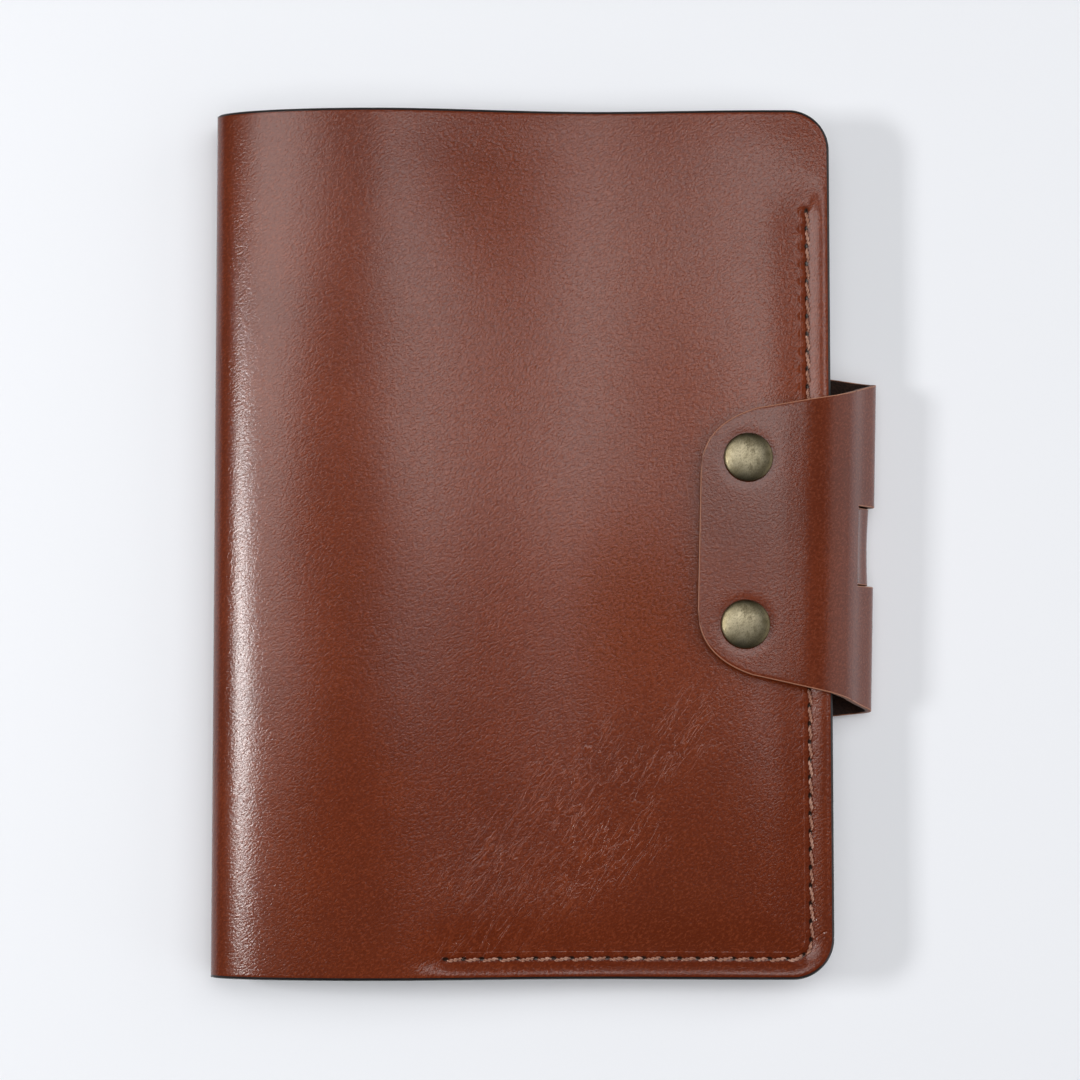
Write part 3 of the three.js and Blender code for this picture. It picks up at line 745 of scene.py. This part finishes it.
def on_seam(along, before, after):
    """1 along the seam and 0 away from it. At each end the change runs from the distance
    before outside it to the distance after inside it."""
    start = smooth_step(along, -before, after)
    return start * smooth_step(along, SEAM_LENGTH + before, SEAM_LENGTH - after)


CHANNEL_DEPTH = 0.34 * MM
CHANNEL_WIDTHS = mm(0.80, 0.62)  # outside and inside the seam
DIP_DEPTH = 0.76 * MM
DIP_WIDTHS = mm(2.5, 7.5)
RIM_HEIGHT = 0.26 * MM
RIM_RISE = mm(0.4, 4.4)  # distances outside the seam between which the rim rises
RIM_EDGE = 1.2 * MM


def seam_relief(x, y, edge_distance):
    """How far the outer face stands proud near the seam. The stitching draws the leathers
    together, and the thread pulls a channel in; towards the edge they stay full."""
    along, across = seam_coordinates(x, y)

    def groove(depth, widths):
        return -depth * np.exp(-((across / np.where(across > 0, *widths)) ** 2))

    pull = 0.80 + 0.20 * np.cos(2 * pi * along / STITCH_PITCH)
    channel = pull * groove(CHANNEL_DEPTH, CHANNEL_WIDTHS)
    rim = RIM_HEIGHT * smooth_step(across, *RIM_RISE) * smooth_step(edge_distance, 0, RIM_EDGE)
    drawn_in = groove(DIP_DEPTH, DIP_WIDTHS) + rim
    return on_seam(along, 2 * MM, 1 * MM) * channel + on_seam(along, 11 * MM, 3 * MM) * drawn_in


def outline_distance(x, y):
    """Distance in from the cover's outline with its round corners, on the fore-edge side."""
    right = x - (FORE_EDGE_X - CORNER_RADIUS)
    beyond = np.abs(y) - CORNER_Y
    corner = (right > 0) & (beyond > 0)
    plain = np.minimum(FORE_EDGE_X - x, HALF_HEIGHT - np.abs(y))
    return np.where(corner, CORNER_RADIUS - np.hypot(right, beyond), plain)


HILLS = (  # radians per millimetre of x and of y, phase, and share of the height
    (0.055, 0.031, 0.6, 0.45),
    (-0.038, 0.064, 2.1, 0.35),
    (0.083, -0.047, 4.0, 0.22),
    (0.021, 0.102, 1.3, 0.18),
    (0.120, 0.075, 5.2, 0.10),
)


def hills(x, y):
    """The slow unevenness of a panel of soft leather, none of it at the outline."""
    total = np.zeros_like(x)
    for per_x, per_y, phase, share in HILLS:
        total += share * np.sin(per_x * x / MM + per_y * y / MM + phase)
    return HILL_HEIGHT * total * smooth_step(outline_distance(x, y), 0, HILL_FADE)


# ---- the cover hide ----
cover_colors = (rgb(0.128, 0.0185, 0.0032), rgb(0.080, 0.0100, 0.0018), rgb(0.205, 0.040, 0.012))
COVER_HIDE = grained_leather("cover_leather_grain", *cover_colors, seam=True, creases=True)
BACK_HIDE = grained_leather("back_leather_grain", *cover_colors, seam=True)
BLACK_EDGE = painted_edge("black_edge_paint", rgb(0.007, 0.006, 0.006))
LINING = flesh_side("cover_flesh_side", rgb(0.060, 0.024, 0.013), rgb(0.028, 0.011, 0.007))
EDGE_RADIUS = 0.75 * MM
EDGE_CELL = 1.3 * MM  # the grid's outermost cells hold the rounded edge
Y_FINE = 0.9 * MM


def panel_place(offset=0.0, relief=None, lining=None):
    """A function from plan coordinates and depths to points, for a layer that lies offset
    below the cover's outer line. relief raises the layer, and lining sinks it."""

    def place(plan, depth):
        (x, z), (nx, nz) = COVER_LINE.at(plan[:, 0])
        y = plan[:, 1]
        sink = depth + offset
        if relief is not None:
            sink = sink - relief(x, y)
        if lining is not None:
            sink = sink + lining(x, y)
        return np.stack([x - nx * sink, y, z - nz * sink], -1)

    return place


def front_relief(x, y):
    settled = smooth_step(x, SPINE_X + 4 * MM, CREST[0])
    return seam_relief(x, y, outline_distance(x, y)) + hills(x, y) * settled


BACK_CHANNEL_DEPTH = 0.85 * MM
BACK_CHANNEL_WIDTH = 0.9 * MM


def back_relief(x, y):
    """The back lies flat on the table, so its channel only goes in, and deeper."""
    along, across = seam_coordinates(x, y)
    channel = -BACK_CHANNEL_DEPTH * np.exp(-((across / BACK_CHANNEL_WIDTH) ** 2))
    return on_seam(along, 2 * MM, 0) * channel


def grid(s_values, y_values):
    return np.stack(np.meshgrid(s_values, y_values, indexing="ij"), -1)


def store_seam(piece):
    s, y, _ = stored_vectors(piece, "sheet").astype(float).T
    (x, _), _ = COVER_LINE.at(s)
    along, across = seam_coordinates(x, y)
    store_vectors(piece, "seam", np.column_stack([along, across, np.zeros_like(along)]))


def cover_hide(name, plan, relief, grain):
    """One of the two hides that meet at the spine's plain cut."""
    place = panel_place(relief=relief)
    materials = [grain, BLACK_EDGE, LINING]
    cut = plain_cut(TURN_S)
    hide = leather_sheet(name, plan, place, COVER_LEATHER, EDGE_RADIUS, materials, square=cut)
    store_seam(hide)
    matching_normals(hide)
    return hide


panel_y = joined(
    even(-HALF_HEIGHT, -HALF_HEIGHT + EDGE_CELL, EDGE_CELL),
    even(-HALF_HEIGHT + EDGE_CELL, -CORNER_Y, 0.6 * MM),
    even(-CORNER_Y, CORNER_Y, Y_FINE),
    even(CORNER_Y, HALF_HEIGHT - EDGE_CELL, Y_FINE),
    even(HALF_HEIGHT - EDGE_CELL, HALF_HEIGHT, EDGE_CELL),
)


def near_edge(edge, inland):
    """Spacing that grows finer towards an edge, from inland to the edge."""
    direction = copysign(1, edge - inland)
    fine_from = edge - direction * CORNER_RADIUS
    return joined(
        even(inland, fine_from, 1.4 * MM),
        even(fine_from, edge - direction * EDGE_CELL, 0.55 * MM),
        even(edge - direction * EDGE_CELL, edge, EDGE_CELL),
    )


front_start_fine = front_s_at(POCKET_LEFT_X)
crest_s = front_s_at(CREST[0])
front_s = joined(
    even(TURN_S, crest_s, 0.9 * MM),
    even(crest_s, front_start_fine, 2.0 * MM),
    near_edge(COVER_LINE.length, front_start_fine),
)
both_corners = (-HALF_HEIGHT, HALF_HEIGHT)
front_plan = round_corners(grid(front_s, panel_y), COVER_LINE.length, 1, both_corners)
front_hide = cover_hide("front_cover_leather", front_plan, front_relief, COVER_HIDE)

lower_start_s = FORE_EDGE_X - LOWER_START[0]
back_inland = FORE_EDGE_X - POCKET_LEFT_X
back_s = joined(
    near_edge(0.0, back_inland)[::-1],
    even(back_inland, lower_start_s, 2.5 * MM),
    even(lower_start_s, TURN_S, 0.9 * MM),
)
back_plan = round_corners(grid(back_s, panel_y), 0.0, -1, both_corners)
back_hide = cover_hide("back_cover_leather", back_plan, back_relief, BACK_HIDE)

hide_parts("front_cover_panel")
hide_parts("back_cover_panel", "spine_panel")
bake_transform(front_hide)
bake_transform(back_hide)

# ---- pockets ----
POCKET_OUTER = flesh_side("pocket_back_side", rgb(0.060, 0.024, 0.013), rgb(0.030, 0.012, 0.008))
pocket_colors = (rgb(0.115, 0.028, 0.012), rgb(0.075, 0.017, 0.008), rgb(0.17, 0.05, 0.025))
POCKET_GRAIN = grained_leather("pocket_leather_grain", *pocket_colors, coat=0.36)
POCKET_EDGE = painted_edge("pocket_edge_paint", rgb(0.010, 0.007, 0.006))
POCKET_RADIUS = 0.3 * MM
POCKET_FULLNESS = 0.7 * MM
BACK_POCKET_SHARE = 0.4  # of the front pocket's fullness
pocket_y = joined(
    even(-HALF_HEIGHT, -CORNER_Y, 0.8 * MM),
    even(-CORNER_Y, POCKET_TOP_Y, 2.0 * MM),
)


def pocket_fullness(x, y):
    """The pocket stands a little off the panel, away from its seam."""
    _, across = seam_coordinates(x, y)
    return POCKET_FULLNESS * smooth_step(np.maximum(-across, 0), 2 * MM, 22 * MM)


def over_anchor(x, y):
    """The back pocket rides up over the tab's anchor, and lies on the panel elsewhere."""
    beside = smooth_step(np.abs(y - TAB_ORIGIN.y), 51 * MM, 45 * MM)
    inner_end = smooth_step(x, FORE_EDGE_X - 35 * MM, FORE_EDGE_X - 29 * MM)
    return (TAB_LEATHER + 2 * LAYER_GAP) * beside * inner_end


def back_pocket_lift(x, y):
    return over_anchor(x, y) + BACK_POCKET_SHARE * pocket_fullness(x, y)


front_pocket_s = near_edge(COVER_LINE.length, front_start_fine)
back_pocket_s = near_edge(0.0, back_inland)[::-1]
for side, s_values, edge_s, outward, relief, lining in (
    ("front", front_pocket_s, COVER_LINE.length, 1, hills, pocket_fullness),
    ("back", back_pocket_s, 0.0, -1, None, back_pocket_lift),
):
    pocket = leather_sheet(
        f"{side}_pocket_leather",
        round_corners(grid(s_values, pocket_y), edge_s, outward, (-HALF_HEIGHT,)),
        panel_place(COVER_LEATHER + LAYER_GAP, relief, lining),
        POCKET_LEATHER,
        POCKET_RADIUS,
        [POCKET_OUTER, POCKET_EDGE, POCKET_GRAIN],
    )
    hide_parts(f"{side}_pocket_panel")
    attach(pocket, side)

# ---- the closing tab, in its own frame: origin on the fore-edge, +X outwards ----
ANCHOR_MID = COVER_LEATHER + LAYER_GAP + TAB_LEATHER / 2
CURL = mm(7.3, 4)  # centre's distance from the fore-edge, and radius
CURL_END = radians(38)  # where the curl stops, from the +X direction
TAB_TIP = -34 * MM
FLAP_TOP = 23.6 * MM
ANCHOR_END = -29 * MM
curl_centre = (CURL[0], ANCHOR_MID + CURL[1])


def weighted(t, start, a, end, b):
    return (end - t) / (end - start) * a + (t - start) / (end - start) * b


def through(points, steps=24):
    """A centripetal Catmull-Rom curve through points."""
    points = [np.array(p, float) for p in points]
    points = [2 * points[0] - points[1]] + points + [2 * points[-1] - points[-2]]
    out = []
    for p0, p1, p2, p3 in zip(points, points[1:], points[2:], points[3:]):
        t1 = sqrt(norm(p1 - p0))
        t2 = t1 + sqrt(norm(p2 - p1))
        t3 = t2 + sqrt(norm(p3 - p2))
        for t in np.linspace(t1, t2, steps, endpoint=False):
            a1 = weighted(t, 0, p0, t1, p1)
            a2 = weighted(t, t1, p1, t2, p2)
            a3 = weighted(t, t2, p2, t3, p3)
            b1 = weighted(t, 0, a1, t2, a2)
            b2 = weighted(t, t1, a2, t3, a3)
            out.append(weighted(t, t1, b1, t2, b2))
    return np.array(out + [points[-2]])


curl_turn = np.linspace(CURL_END, -QUARTER, 60)
curl = np.array(curl_centre) + CURL[1] * np.stack([np.cos(curl_turn), np.sin(curl_turn)], -1)
FLAP_KNOTS = (
    (TAB_TIP, FLAP_TOP - 1.0 * MM),
    (SNAP_INSET, FLAP_TOP - TAB_LEATHER / 2),
    mm(-11, 22.65),
    mm(-3.5, 21.8),
    mm(3.1, 18.8),
    mm(7.6, 12.7),
    tuple(curl[0]),
)
tab_points = np.concatenate([through(FLAP_KNOTS), curl[1:], [(ANCHOR_END, ANCHOR_MID)]])
TAB_MID = Line(tab_points, softening=0.7 * MM)
outermost = int(np.argmax(TAB_MID.points[:, 0]))
ON_TOP = slice(0, outermost)
ON_SIDE = slice(len(TAB_MID.points) // 6, outermost)
UNDERNEATH = slice(outermost, None)


def tab_s_at(part, x=None, z=None):
    """Distance from the tip at which part of the tab's middle line passes an x or a z."""
    passed = TAB_MID.points[part, 0 if z is None else 1]
    direction = 1 if part is ON_TOP else -1
    value = x if z is None else z
    return float(np.interp(direction * value, direction * passed, TAB_MID.s[part]))


TAB_CUT_S = tab_s_at(ON_SIDE, z=16.2 * MM)
corner_end_s = tab_s_at(ON_TOP, x=-20 * MM)
HALF_WIDTHS = (
    (corner_end_s, 33.9 * MM),
    (tab_s_at(ON_TOP, x=0.0), 37.9 * MM),
    (float(TAB_MID.s[outermost]), 42.4 * MM),
    (tab_s_at(UNDERNEATH, x=0.0), 44.1 * MM),
    (TAB_MID.length, 40.0 * MM),
)
TIP_HALF = 17.5 * MM
TIP_CONTROL = 29.5 * MM  # half width of the point the round corners are drawn towards


def tab_half_width(s):
    knots, widths = zip(*HALF_WIDTHS)
    return np.interp(s, knots, widths)


SNAPS = (("upper", SNAP_SPACING / 2), ("lower", -SNAP_SPACING / 2))
SNAP_S = tab_s_at(ON_TOP, x=SNAP_INSET)
SNAP_PRESS = 0.13 * MM
FLAP_SWELL = 0.12 * MM


def flap_relief(s, y):
    """The caps press softly into the flap, which is not quite flat between them."""
    total = np.zeros_like(s)
    for _, snap_y in SNAPS:
        radius = np.hypot(s - SNAP_S, y - snap_y)
        total -= SNAP_PRESS * smooth_step(radius, 8.2 * MM, 5.6 * MM)
    soft = FLAP_SWELL * np.sin(y / (11 * MM)) * np.sin(s / (9 * MM))
    return total + soft * smooth_step(s, TAB_CUT_S - 2 * MM, TAB_CUT_S - 14 * MM)


STRAP_HALF = 9.9 * MM
SLIT = 0.35 * MM
STRAP_START = tab_s_at(ON_SIDE, z=14.3 * MM)
STRAP_END = tab_s_at(UNDERNEATH, x=8.5 * MM)
STRAP_RECESS = 1.6 * MM


def strap_relief(s, y):
    """The strap between the slits is pushed in, most in its middle."""
    share = np.clip((s - STRAP_START) / (STRAP_END - STRAP_START), 0, 1)
    across = 1 + 0.22 * np.cos(pi * y / (2 * STRAP_HALF))
    within = np.abs(y) < STRAP_HALF + SLIT / 2
    return np.where(within, -STRAP_RECESS * across * np.sin(pi * share) ** 0.8, 0)


def tab_sheet(name, plan, relief, keep=None):
    """One of the two sheets that meet at the tab's plain cut. Its outer face is the tab's
    middle line moved out by half the leather."""

    def place(plan, depth):
        s, y = plan.T
        (x, z), (nx, nz) = TAB_MID.at(s)
        rise = TAB_LEATHER / 2 - depth + relief(s, y)
        points = np.stack([x + nx * rise, y, z + nz * rise], -1)
        return points @ np.array(TAB_FRAME.to_3x3()).T + np.array(TAB_ORIGIN)

    materials = [TAB_HIDE, TAB_EDGE_WITH_PAINTED_HIGHLIGHT, TAB_FLESH]
    cut = plain_cut(TAB_CUT_S)
    return leather_sheet(name, plan, place, TAB_LEATHER, TAB_RADIUS, materials, keep, cut)


def rows_and_lanes(s, y):
    """A plan grid from each row's s and an array of each row's y values."""
    return np.stack([np.repeat(s[:, None], y.shape[1], 1), y], -1)


tab_colors = (rgb(0.130, 0.0215, 0.0058), rgb(0.075, 0.0115, 0.0033), rgb(0.180, 0.044, 0.019))
TAB_GRAIN = dict(cells=(1300, 1700), grain_bump=0.04 * MM)
TAB_HIDE = grained_leather("tab_leather_grain", *tab_colors, **TAB_GRAIN)
# the tab edge's pale outer colour is partly the raw edge's own brown and partly a painted
# highlight from the light on the left
TAB_EDGE_WITH_PAINTED_HIGHLIGHT = raw_edge("tab_raw_edge_painted_highlight", rgb(0.36, 0.155, 0.090), rgb(0.13, 0.045, 0.022))
TAB_FLESH = flesh_side("tab_flesh_side", rgb(0.035, 0.014, 0.008), rgb(0.010, 0.005, 0.004))
TAB_RADIUS = 0.25 * MM

# the flap and the top of the fold: from the tip to the cut
corner_t = joined([0.0, 0.17], even(0.17, 1.0, 0.045))  # along the round corners' curve
tip_s = corner_end_s * corner_t**2
tip_widths = (1 - corner_t) ** 2 * TIP_HALF + 2 * corner_t * (1 - corner_t) * TIP_CONTROL
tip_widths += corner_t**2 * HALF_WIDTHS[0][1]
upper_s = joined(tip_s, even(corner_end_s, TAB_CUT_S, 0.9 * MM))
upper_half = np.concatenate([tip_widths, tab_half_width(upper_s[len(tip_s) :])])
lanes = np.linspace(-1, 1, 61)
upper_plan = rows_and_lanes(upper_s, upper_half[:, None] * lanes[None, :])
tab_upper = tab_sheet("tab_flap_leather", upper_plan, flap_relief)

# the side, the curl and the anchor under the back pocket: from the cut to the inner end
lower_s = joined(
    even(TAB_CUT_S, STRAP_START, 0.7 * MM),
    even(STRAP_START, STRAP_END, 0.5 * MM),
    even(STRAP_END, TAB_MID.length, 1.5 * MM),
)
inner_lanes = joined(
    even(-STRAP_HALF - SLIT, -STRAP_HALF, SLIT),
    even(-STRAP_HALF, STRAP_HALF, 0.9 * MM),
    even(STRAP_HALF, STRAP_HALF + SLIT, SLIT),
)
outer_share = np.linspace(0, 1, 30)[1:]
strap_outer = STRAP_HALF + SLIT
half_widths = tab_half_width(lower_s)
outer_lanes = strap_outer + (half_widths[:, None] - strap_outer) * outer_share[None, :]
lower_y = np.concatenate(
    [-outer_lanes[:, ::-1], np.repeat(inner_lanes[None, :], len(lower_s), 0), outer_lanes], 1
)
lower_plan = rows_and_lanes(lower_s, lower_y)
middle_s, middle_y = np.moveaxis((lower_plan[:-1, :-1] + lower_plan[1:, 1:]) / 2, -1, 0)
beside_strap = (np.abs(middle_y) > STRAP_HALF) & (np.abs(middle_y) < strap_outer)
in_slit = beside_strap & (middle_s > STRAP_START) & (middle_s < STRAP_END)
tab_lower = tab_sheet("tab_fold_leather", lower_plan, strap_relief, keep=~in_slit)


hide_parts("tab_flap")
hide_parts("tab_fold", "tab_base")
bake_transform(tab_upper)
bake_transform(tab_lower)


# ---- press studs ----
LATHED_SHARP_ANGLE = radians(38)


def lathed(name, profile, centre, material, segments=56):
    """A closed body of revolution about an upright axis through centre. profile is a list of
    radius and height in millimetres, from the bottom of the axis or bore round to its top."""
    profile = np.array(profile, float) * MM
    turn = np.linspace(0, 2 * pi, segments, endpoint=False)
    points, rings = [], []
    for radius, height in profile:
        if radius < TINY:
            rings.append([len(points)])
            points.append((0, 0, height))
        else:
            rings.append(list(range(len(points), len(points) + segments)))
            points.extend((radius * cos(t), radius * sin(t), height) for t in turn)
    closes_on_axis = len(rings[0]) == 1 and len(rings[-1]) == 1
    pairs = list(zip(rings, rings[1:])) + ([] if closes_on_axis else [(rings[-1], rings[0])])
    faces = []
    for low, high in pairs:
        for k in range(segments):
            quad = ((low, k), (low, k + 1), (high, k + 1), (high, k))
            faces.append(list(dict.fromkeys(ring[at % len(ring)] for ring, at in quad)))
    placed = np.array(points) + np.array(centre)
    piece = new_mesh(name, placed, faces, [material], sharp_angle=LATHED_SHARP_ANGLE)
    store_vectors(piece, "around", points)
    return piece


def rounded_profile(points, radius=0.12, steps=3):
    """Takes the corners off a profile, away from its ends."""
    points = [np.array(p, float) for p in points]
    out = [points[0]]
    for before, corner, after in zip(points, points[1:], points[2:]):
        a, b = before - corner, after - corner
        reach = min(radius, norm(a) / 2.2, norm(b) / 2.2)
        start = corner + a / norm(a) * reach
        end = corner + b / norm(b) * reach
        for t in np.linspace(0, 1, steps + 1):
            out.append((1 - t) ** 2 * start + 2 * t * (1 - t) * corner + t * t * end)
    return out + [points[-1]]


CAP_BRASS = antique_brass(
    "antique_brass_cap", rgb(0.52, 0.45, 0.30), rgb(0.19, 0.155, 0.085), rgb(0.06, 0.055, 0.03)
)
STUD_BRASS = antique_brass(
    "antique_brass_stud", rgb(0.50, 0.44, 0.27), rgb(0.26, 0.22, 0.12), rgb(0.09, 0.08, 0.045)
)
# heights are above the flap's outer face for the cap, and above the front panel's for the rest
CAP_R = CAP_RADIUS / MM
CAP_SEAT = FLAP_TOP - 0.10 * MM
CAP_HEIGHT = 2.15
DOME_REACH = 5.3 * 1.17
DOME_START = 0.75  # height at which the rolled rim passes into the dome
dome = [
    (CAP_R - 0.05 - DOME_REACH * (1 - cos(t)), DOME_START + (CAP_HEIGHT - DOME_START) * sin(t))
    for t in np.linspace(0, QUARTER, 18)
]
rolled_rim = [
    (CAP_R - 0.4 + 0.4 * sin(t), 0.38 - 0.36 * cos(t))
    for t in np.linspace(0.2, pi * 0.62, 7)
]
CAP_PROFILE = (
    [(0, -2.0), (1.5, -2.0), (1.5, 0.02), (CAP_R - 0.55, 0.02)]
    + rolled_rim
    + [(radius, height) for radius, height in dome if radius > 0.05]
    + [(0, CAP_HEIGHT)]
)
SOCKET_PROFILE = rounded_profile(
    [(1.8, 2.45), (3.3, 2.45), (3.3, 1.0), (4.2, 0.9), (5.6, 1.45), (5.6, 2.35), (5.2, 2.85)]
    + [(1.8, 2.85), (1.8, 2.5)]
)
STUD_PROFILE = rounded_profile(
    [(2.1, 0.08), (4.9, 0.08), (4.9, 0.5), (3.2, 0.75), (2.55, 1.1), (2.9, 1.6), (2.6, 2.0)]
    + [(1.9, 2.2), (1.9, 1.7), (2.1, 1.6)]
)
EYELET_PROFILE = rounded_profile(
    [(1.1, -2.0), (4.6, -2.0), (4.6, -1.5), (1.6, -1.5), (1.6, 1.4), (1.1, 1.4), (1.1, -1.9)]
)

for side, snap_y in SNAPS:
    axis = TAB_FRAME @ Vector((SNAP_INSET, snap_y, 0))
    panel_top = float(front_height(np.array([axis.x]))[0])
    for part, profile, base, body, finish in (
        ("cap", CAP_PROFILE, CAP_SEAT, "tab_flap", CAP_BRASS),
        ("socket", SOCKET_PROFILE, panel_top, "tab_flap", STUD_BRASS),
        ("stud", STUD_PROFILE, panel_top, "front", STUD_BRASS),
        ("eyelet", EYELET_PROFILE, panel_top, "front", STUD_BRASS),
    ):
        piece = lathed(f"{side}_press_{part}", profile, (axis.x, axis.y, base), finish)
        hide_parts(f"{side}_snap_{part}")
        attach(piece, body)

# ---- saddle stitches ----
THREAD = waxed_thread("waxed_linen_thread")
PLY_RADIUS = 0.26 * MM
TWIST_RADIUS = 0.21 * MM
TWIST_TURNS = 1.75  # in one stitch
STITCH_SHARE = 0.86  # of the pitch; the rest is between two stitches' holes
STITCH_LEAN = mm(0.34, -0.28)  # places across the seam where a stitch starts and ends
STITCH_WOBBLE = 0.06 * MM
WOBBLE_STEP = 12.9  # radians from one stitch to the next, which look random
TWIST_STEP = 0.37  # turns by which the twist differs from one stitch to the next
STITCH_SINK = 0.66 * MM
STITCH_ARCH = 0.86 * MM


def stitches(name, surface, plies=2, steps=22, sides=7):
    """Slanted saddle stitches along the seam, each one a twisted thread that comes out of
    one hole and goes down at the next. surface gives a point and an outward normal for plan
    places."""
    t = np.linspace(0, 1, steps)
    rise = -STITCH_SINK + STITCH_ARCH * np.sin(pi * t) ** 0.4
    lean = STITCH_LEAN[0] + (STITCH_LEAN[1] - STITCH_LEAN[0]) * t
    points, faces = [], []
    for k in range(STITCH_COUNT):
        along = (k + (1 - STITCH_SHARE) / 2 + STITCH_SHARE * t) * STITCH_PITCH
        base, normal = surface(seam_point(along, lean + sin(WOBBLE_STEP * k) * STITCH_WOBBLE))
        centre = base + normal * rise[:, None]
        tangent = np.gradient(centre, axis=0)
        tangent /= norm(tangent, axis=1)[:, None]
        side = np.cross(normal, tangent)
        side /= norm(side, axis=1)[:, None]
        up = np.cross(tangent, side)
        for ply in range(plies):
            angle = 2 * pi * (ply / plies + TWIST_TURNS * t + TWIST_STEP * k)[:, None]
            strand = centre + TWIST_RADIUS * (np.cos(angle) * side + np.sin(angle) * up)
            first = len(points)
            for ring in range(sides):
                a = 2 * pi * ring / sides
                points.extend(strand + PLY_RADIUS * (cos(a) * side + sin(a) * up))
            for ring in range(sides):
                here, there = first + ring * steps, first + (ring + 1) % sides * steps
                for m in range(steps - 1):
                    faces.append([here + m + 1, there + m + 1, there + m, here + m])
            faces.append([first + ring * steps for ring in range(sides)])
            faces.append([first + ring * steps + steps - 1 for ring in range(sides)][::-1])
    return new_mesh(name, np.array(points), faces, [THREAD])


def face_of(is_front, is_inner, sink):
    """Points and outward normals on a face of the front's or the back's leathers. sink
    gives its depth below the cover's outer line."""

    def surface(plan):
        x, y = plan.T
        s = front_s_at(x) if is_front else FORE_EDGE_X - x
        (px, pz), (nx, nz) = COVER_LINE.at(s)
        depth = sink(x, y)
        point = np.stack([px - nx * depth, y, pz - nz * depth], -1)
        normal = np.stack([nx, np.zeros_like(nx), nz], -1)
        return point, -normal if is_inner else normal

    return surface


def front_face(x, y):
    return -front_relief(x, y)


def back_face(x, y):
    return np.full_like(x, BACK_THREAD_DEPTH)


def front_pocket_face(x, y):
    return COVER_LEATHER + LAYER_GAP + POCKET_LEATHER + pocket_fullness(x, y)


def back_pocket_face(x, y):
    return front_pocket_face(x, y) + over_anchor(x, y)


BACK_THREAD_DEPTH = 0.75 * MM  # in its channel, clear of the table
for body, place, sink in (
    ("front", "outer", front_face),
    ("front", "inner", front_pocket_face),
    ("back", "outer", back_face),
    ("back", "inner", back_pocket_face),
):
    surface = face_of(body == "front", place == "inner", sink)
    piece = stitches(f"{body}_stitches_{place}", surface)
    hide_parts(f"{body}_seam_thread")
    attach(piece, body)

# ---- table, light and camera ----
scene = bpy.context.scene
scene.view_settings.view_transform = "Standard"

TABLE_HALF = 1.5
corners = [(x * TABLE_HALF, y * TABLE_HALF, 0) for x, y in ((-1, -1), (1, -1), (1, 1), (-1, 1))]
table = new_mesh("table_top", corners, [(0, 1, 2, 3)], [table_top("pale_table")])

LIGHT_AIM = Vector((-0.03, 0, 0.01))


def soft_light(name, place, size, radiance):
    data = bpy.data.lights.new(name, "AREA")
    data.shape = "RECTANGLE"
    data.size, data.size_y = size
    data.energy = radiance * pi * size[0] * size[1]
    light = new_object(name, data)
    light.location = place
    light.rotation_euler = (LIGHT_AIM - Vector(place)).to_track_quat("-Z", "Y").to_euler()
    return light


for name, place, size, radiance, in_gloss, in_diffuse in (
    ("window_left", (-0.81, 0.0, 0.71), (0.25, 0.15), 40.0, True, True),
    ("left_sky", (-0.66, 0.34, 1.08), (0.62, 0.50), 4.6, True, False),
    ("overhead", (0.12, 0.285, 1.5), (0.54, 0.35), 4.4, True, True),
    ("right_wall", (1.0, 0.0, 0.42), (1.6, 0.8), 1.0, True, True),
    ("table_fill", (0.5, 0.1, 2.4), (3.0, 3.0), 1.75, False, True),
):
    light = soft_light(name, place, size, radiance)
    light.visible_glossy = in_gloss
    light.visible_diffuse = in_diffuse

world = bpy.data.worlds.new("studio")
world.use_nodes = True
background = world.node_tree.nodes["Background"]
background.inputs["Color"].default_value = (0.9, 0.93, 1.0, 1)
background.inputs["Strength"].default_value = 0.03
scene.world = world

# the camera is where the outline's perspective in the photograph puts it
CAMERA_PLACE = mm(-1.4, -46.35, 715.9)
CAMERA_TILT = radians(3.81)
LENS_MM, SENSOR_MM = 91.5, 36
camera_data = bpy.data.cameras.new("camera")
camera_data.lens = LENS_MM
camera_data.sensor_width = SENSOR_MM
camera = new_object("camera", camera_data)
camera.location = CAMERA_PLACE
camera.rotation_euler = (CAMERA_TILT, 0, 0)
scene.camera = camera
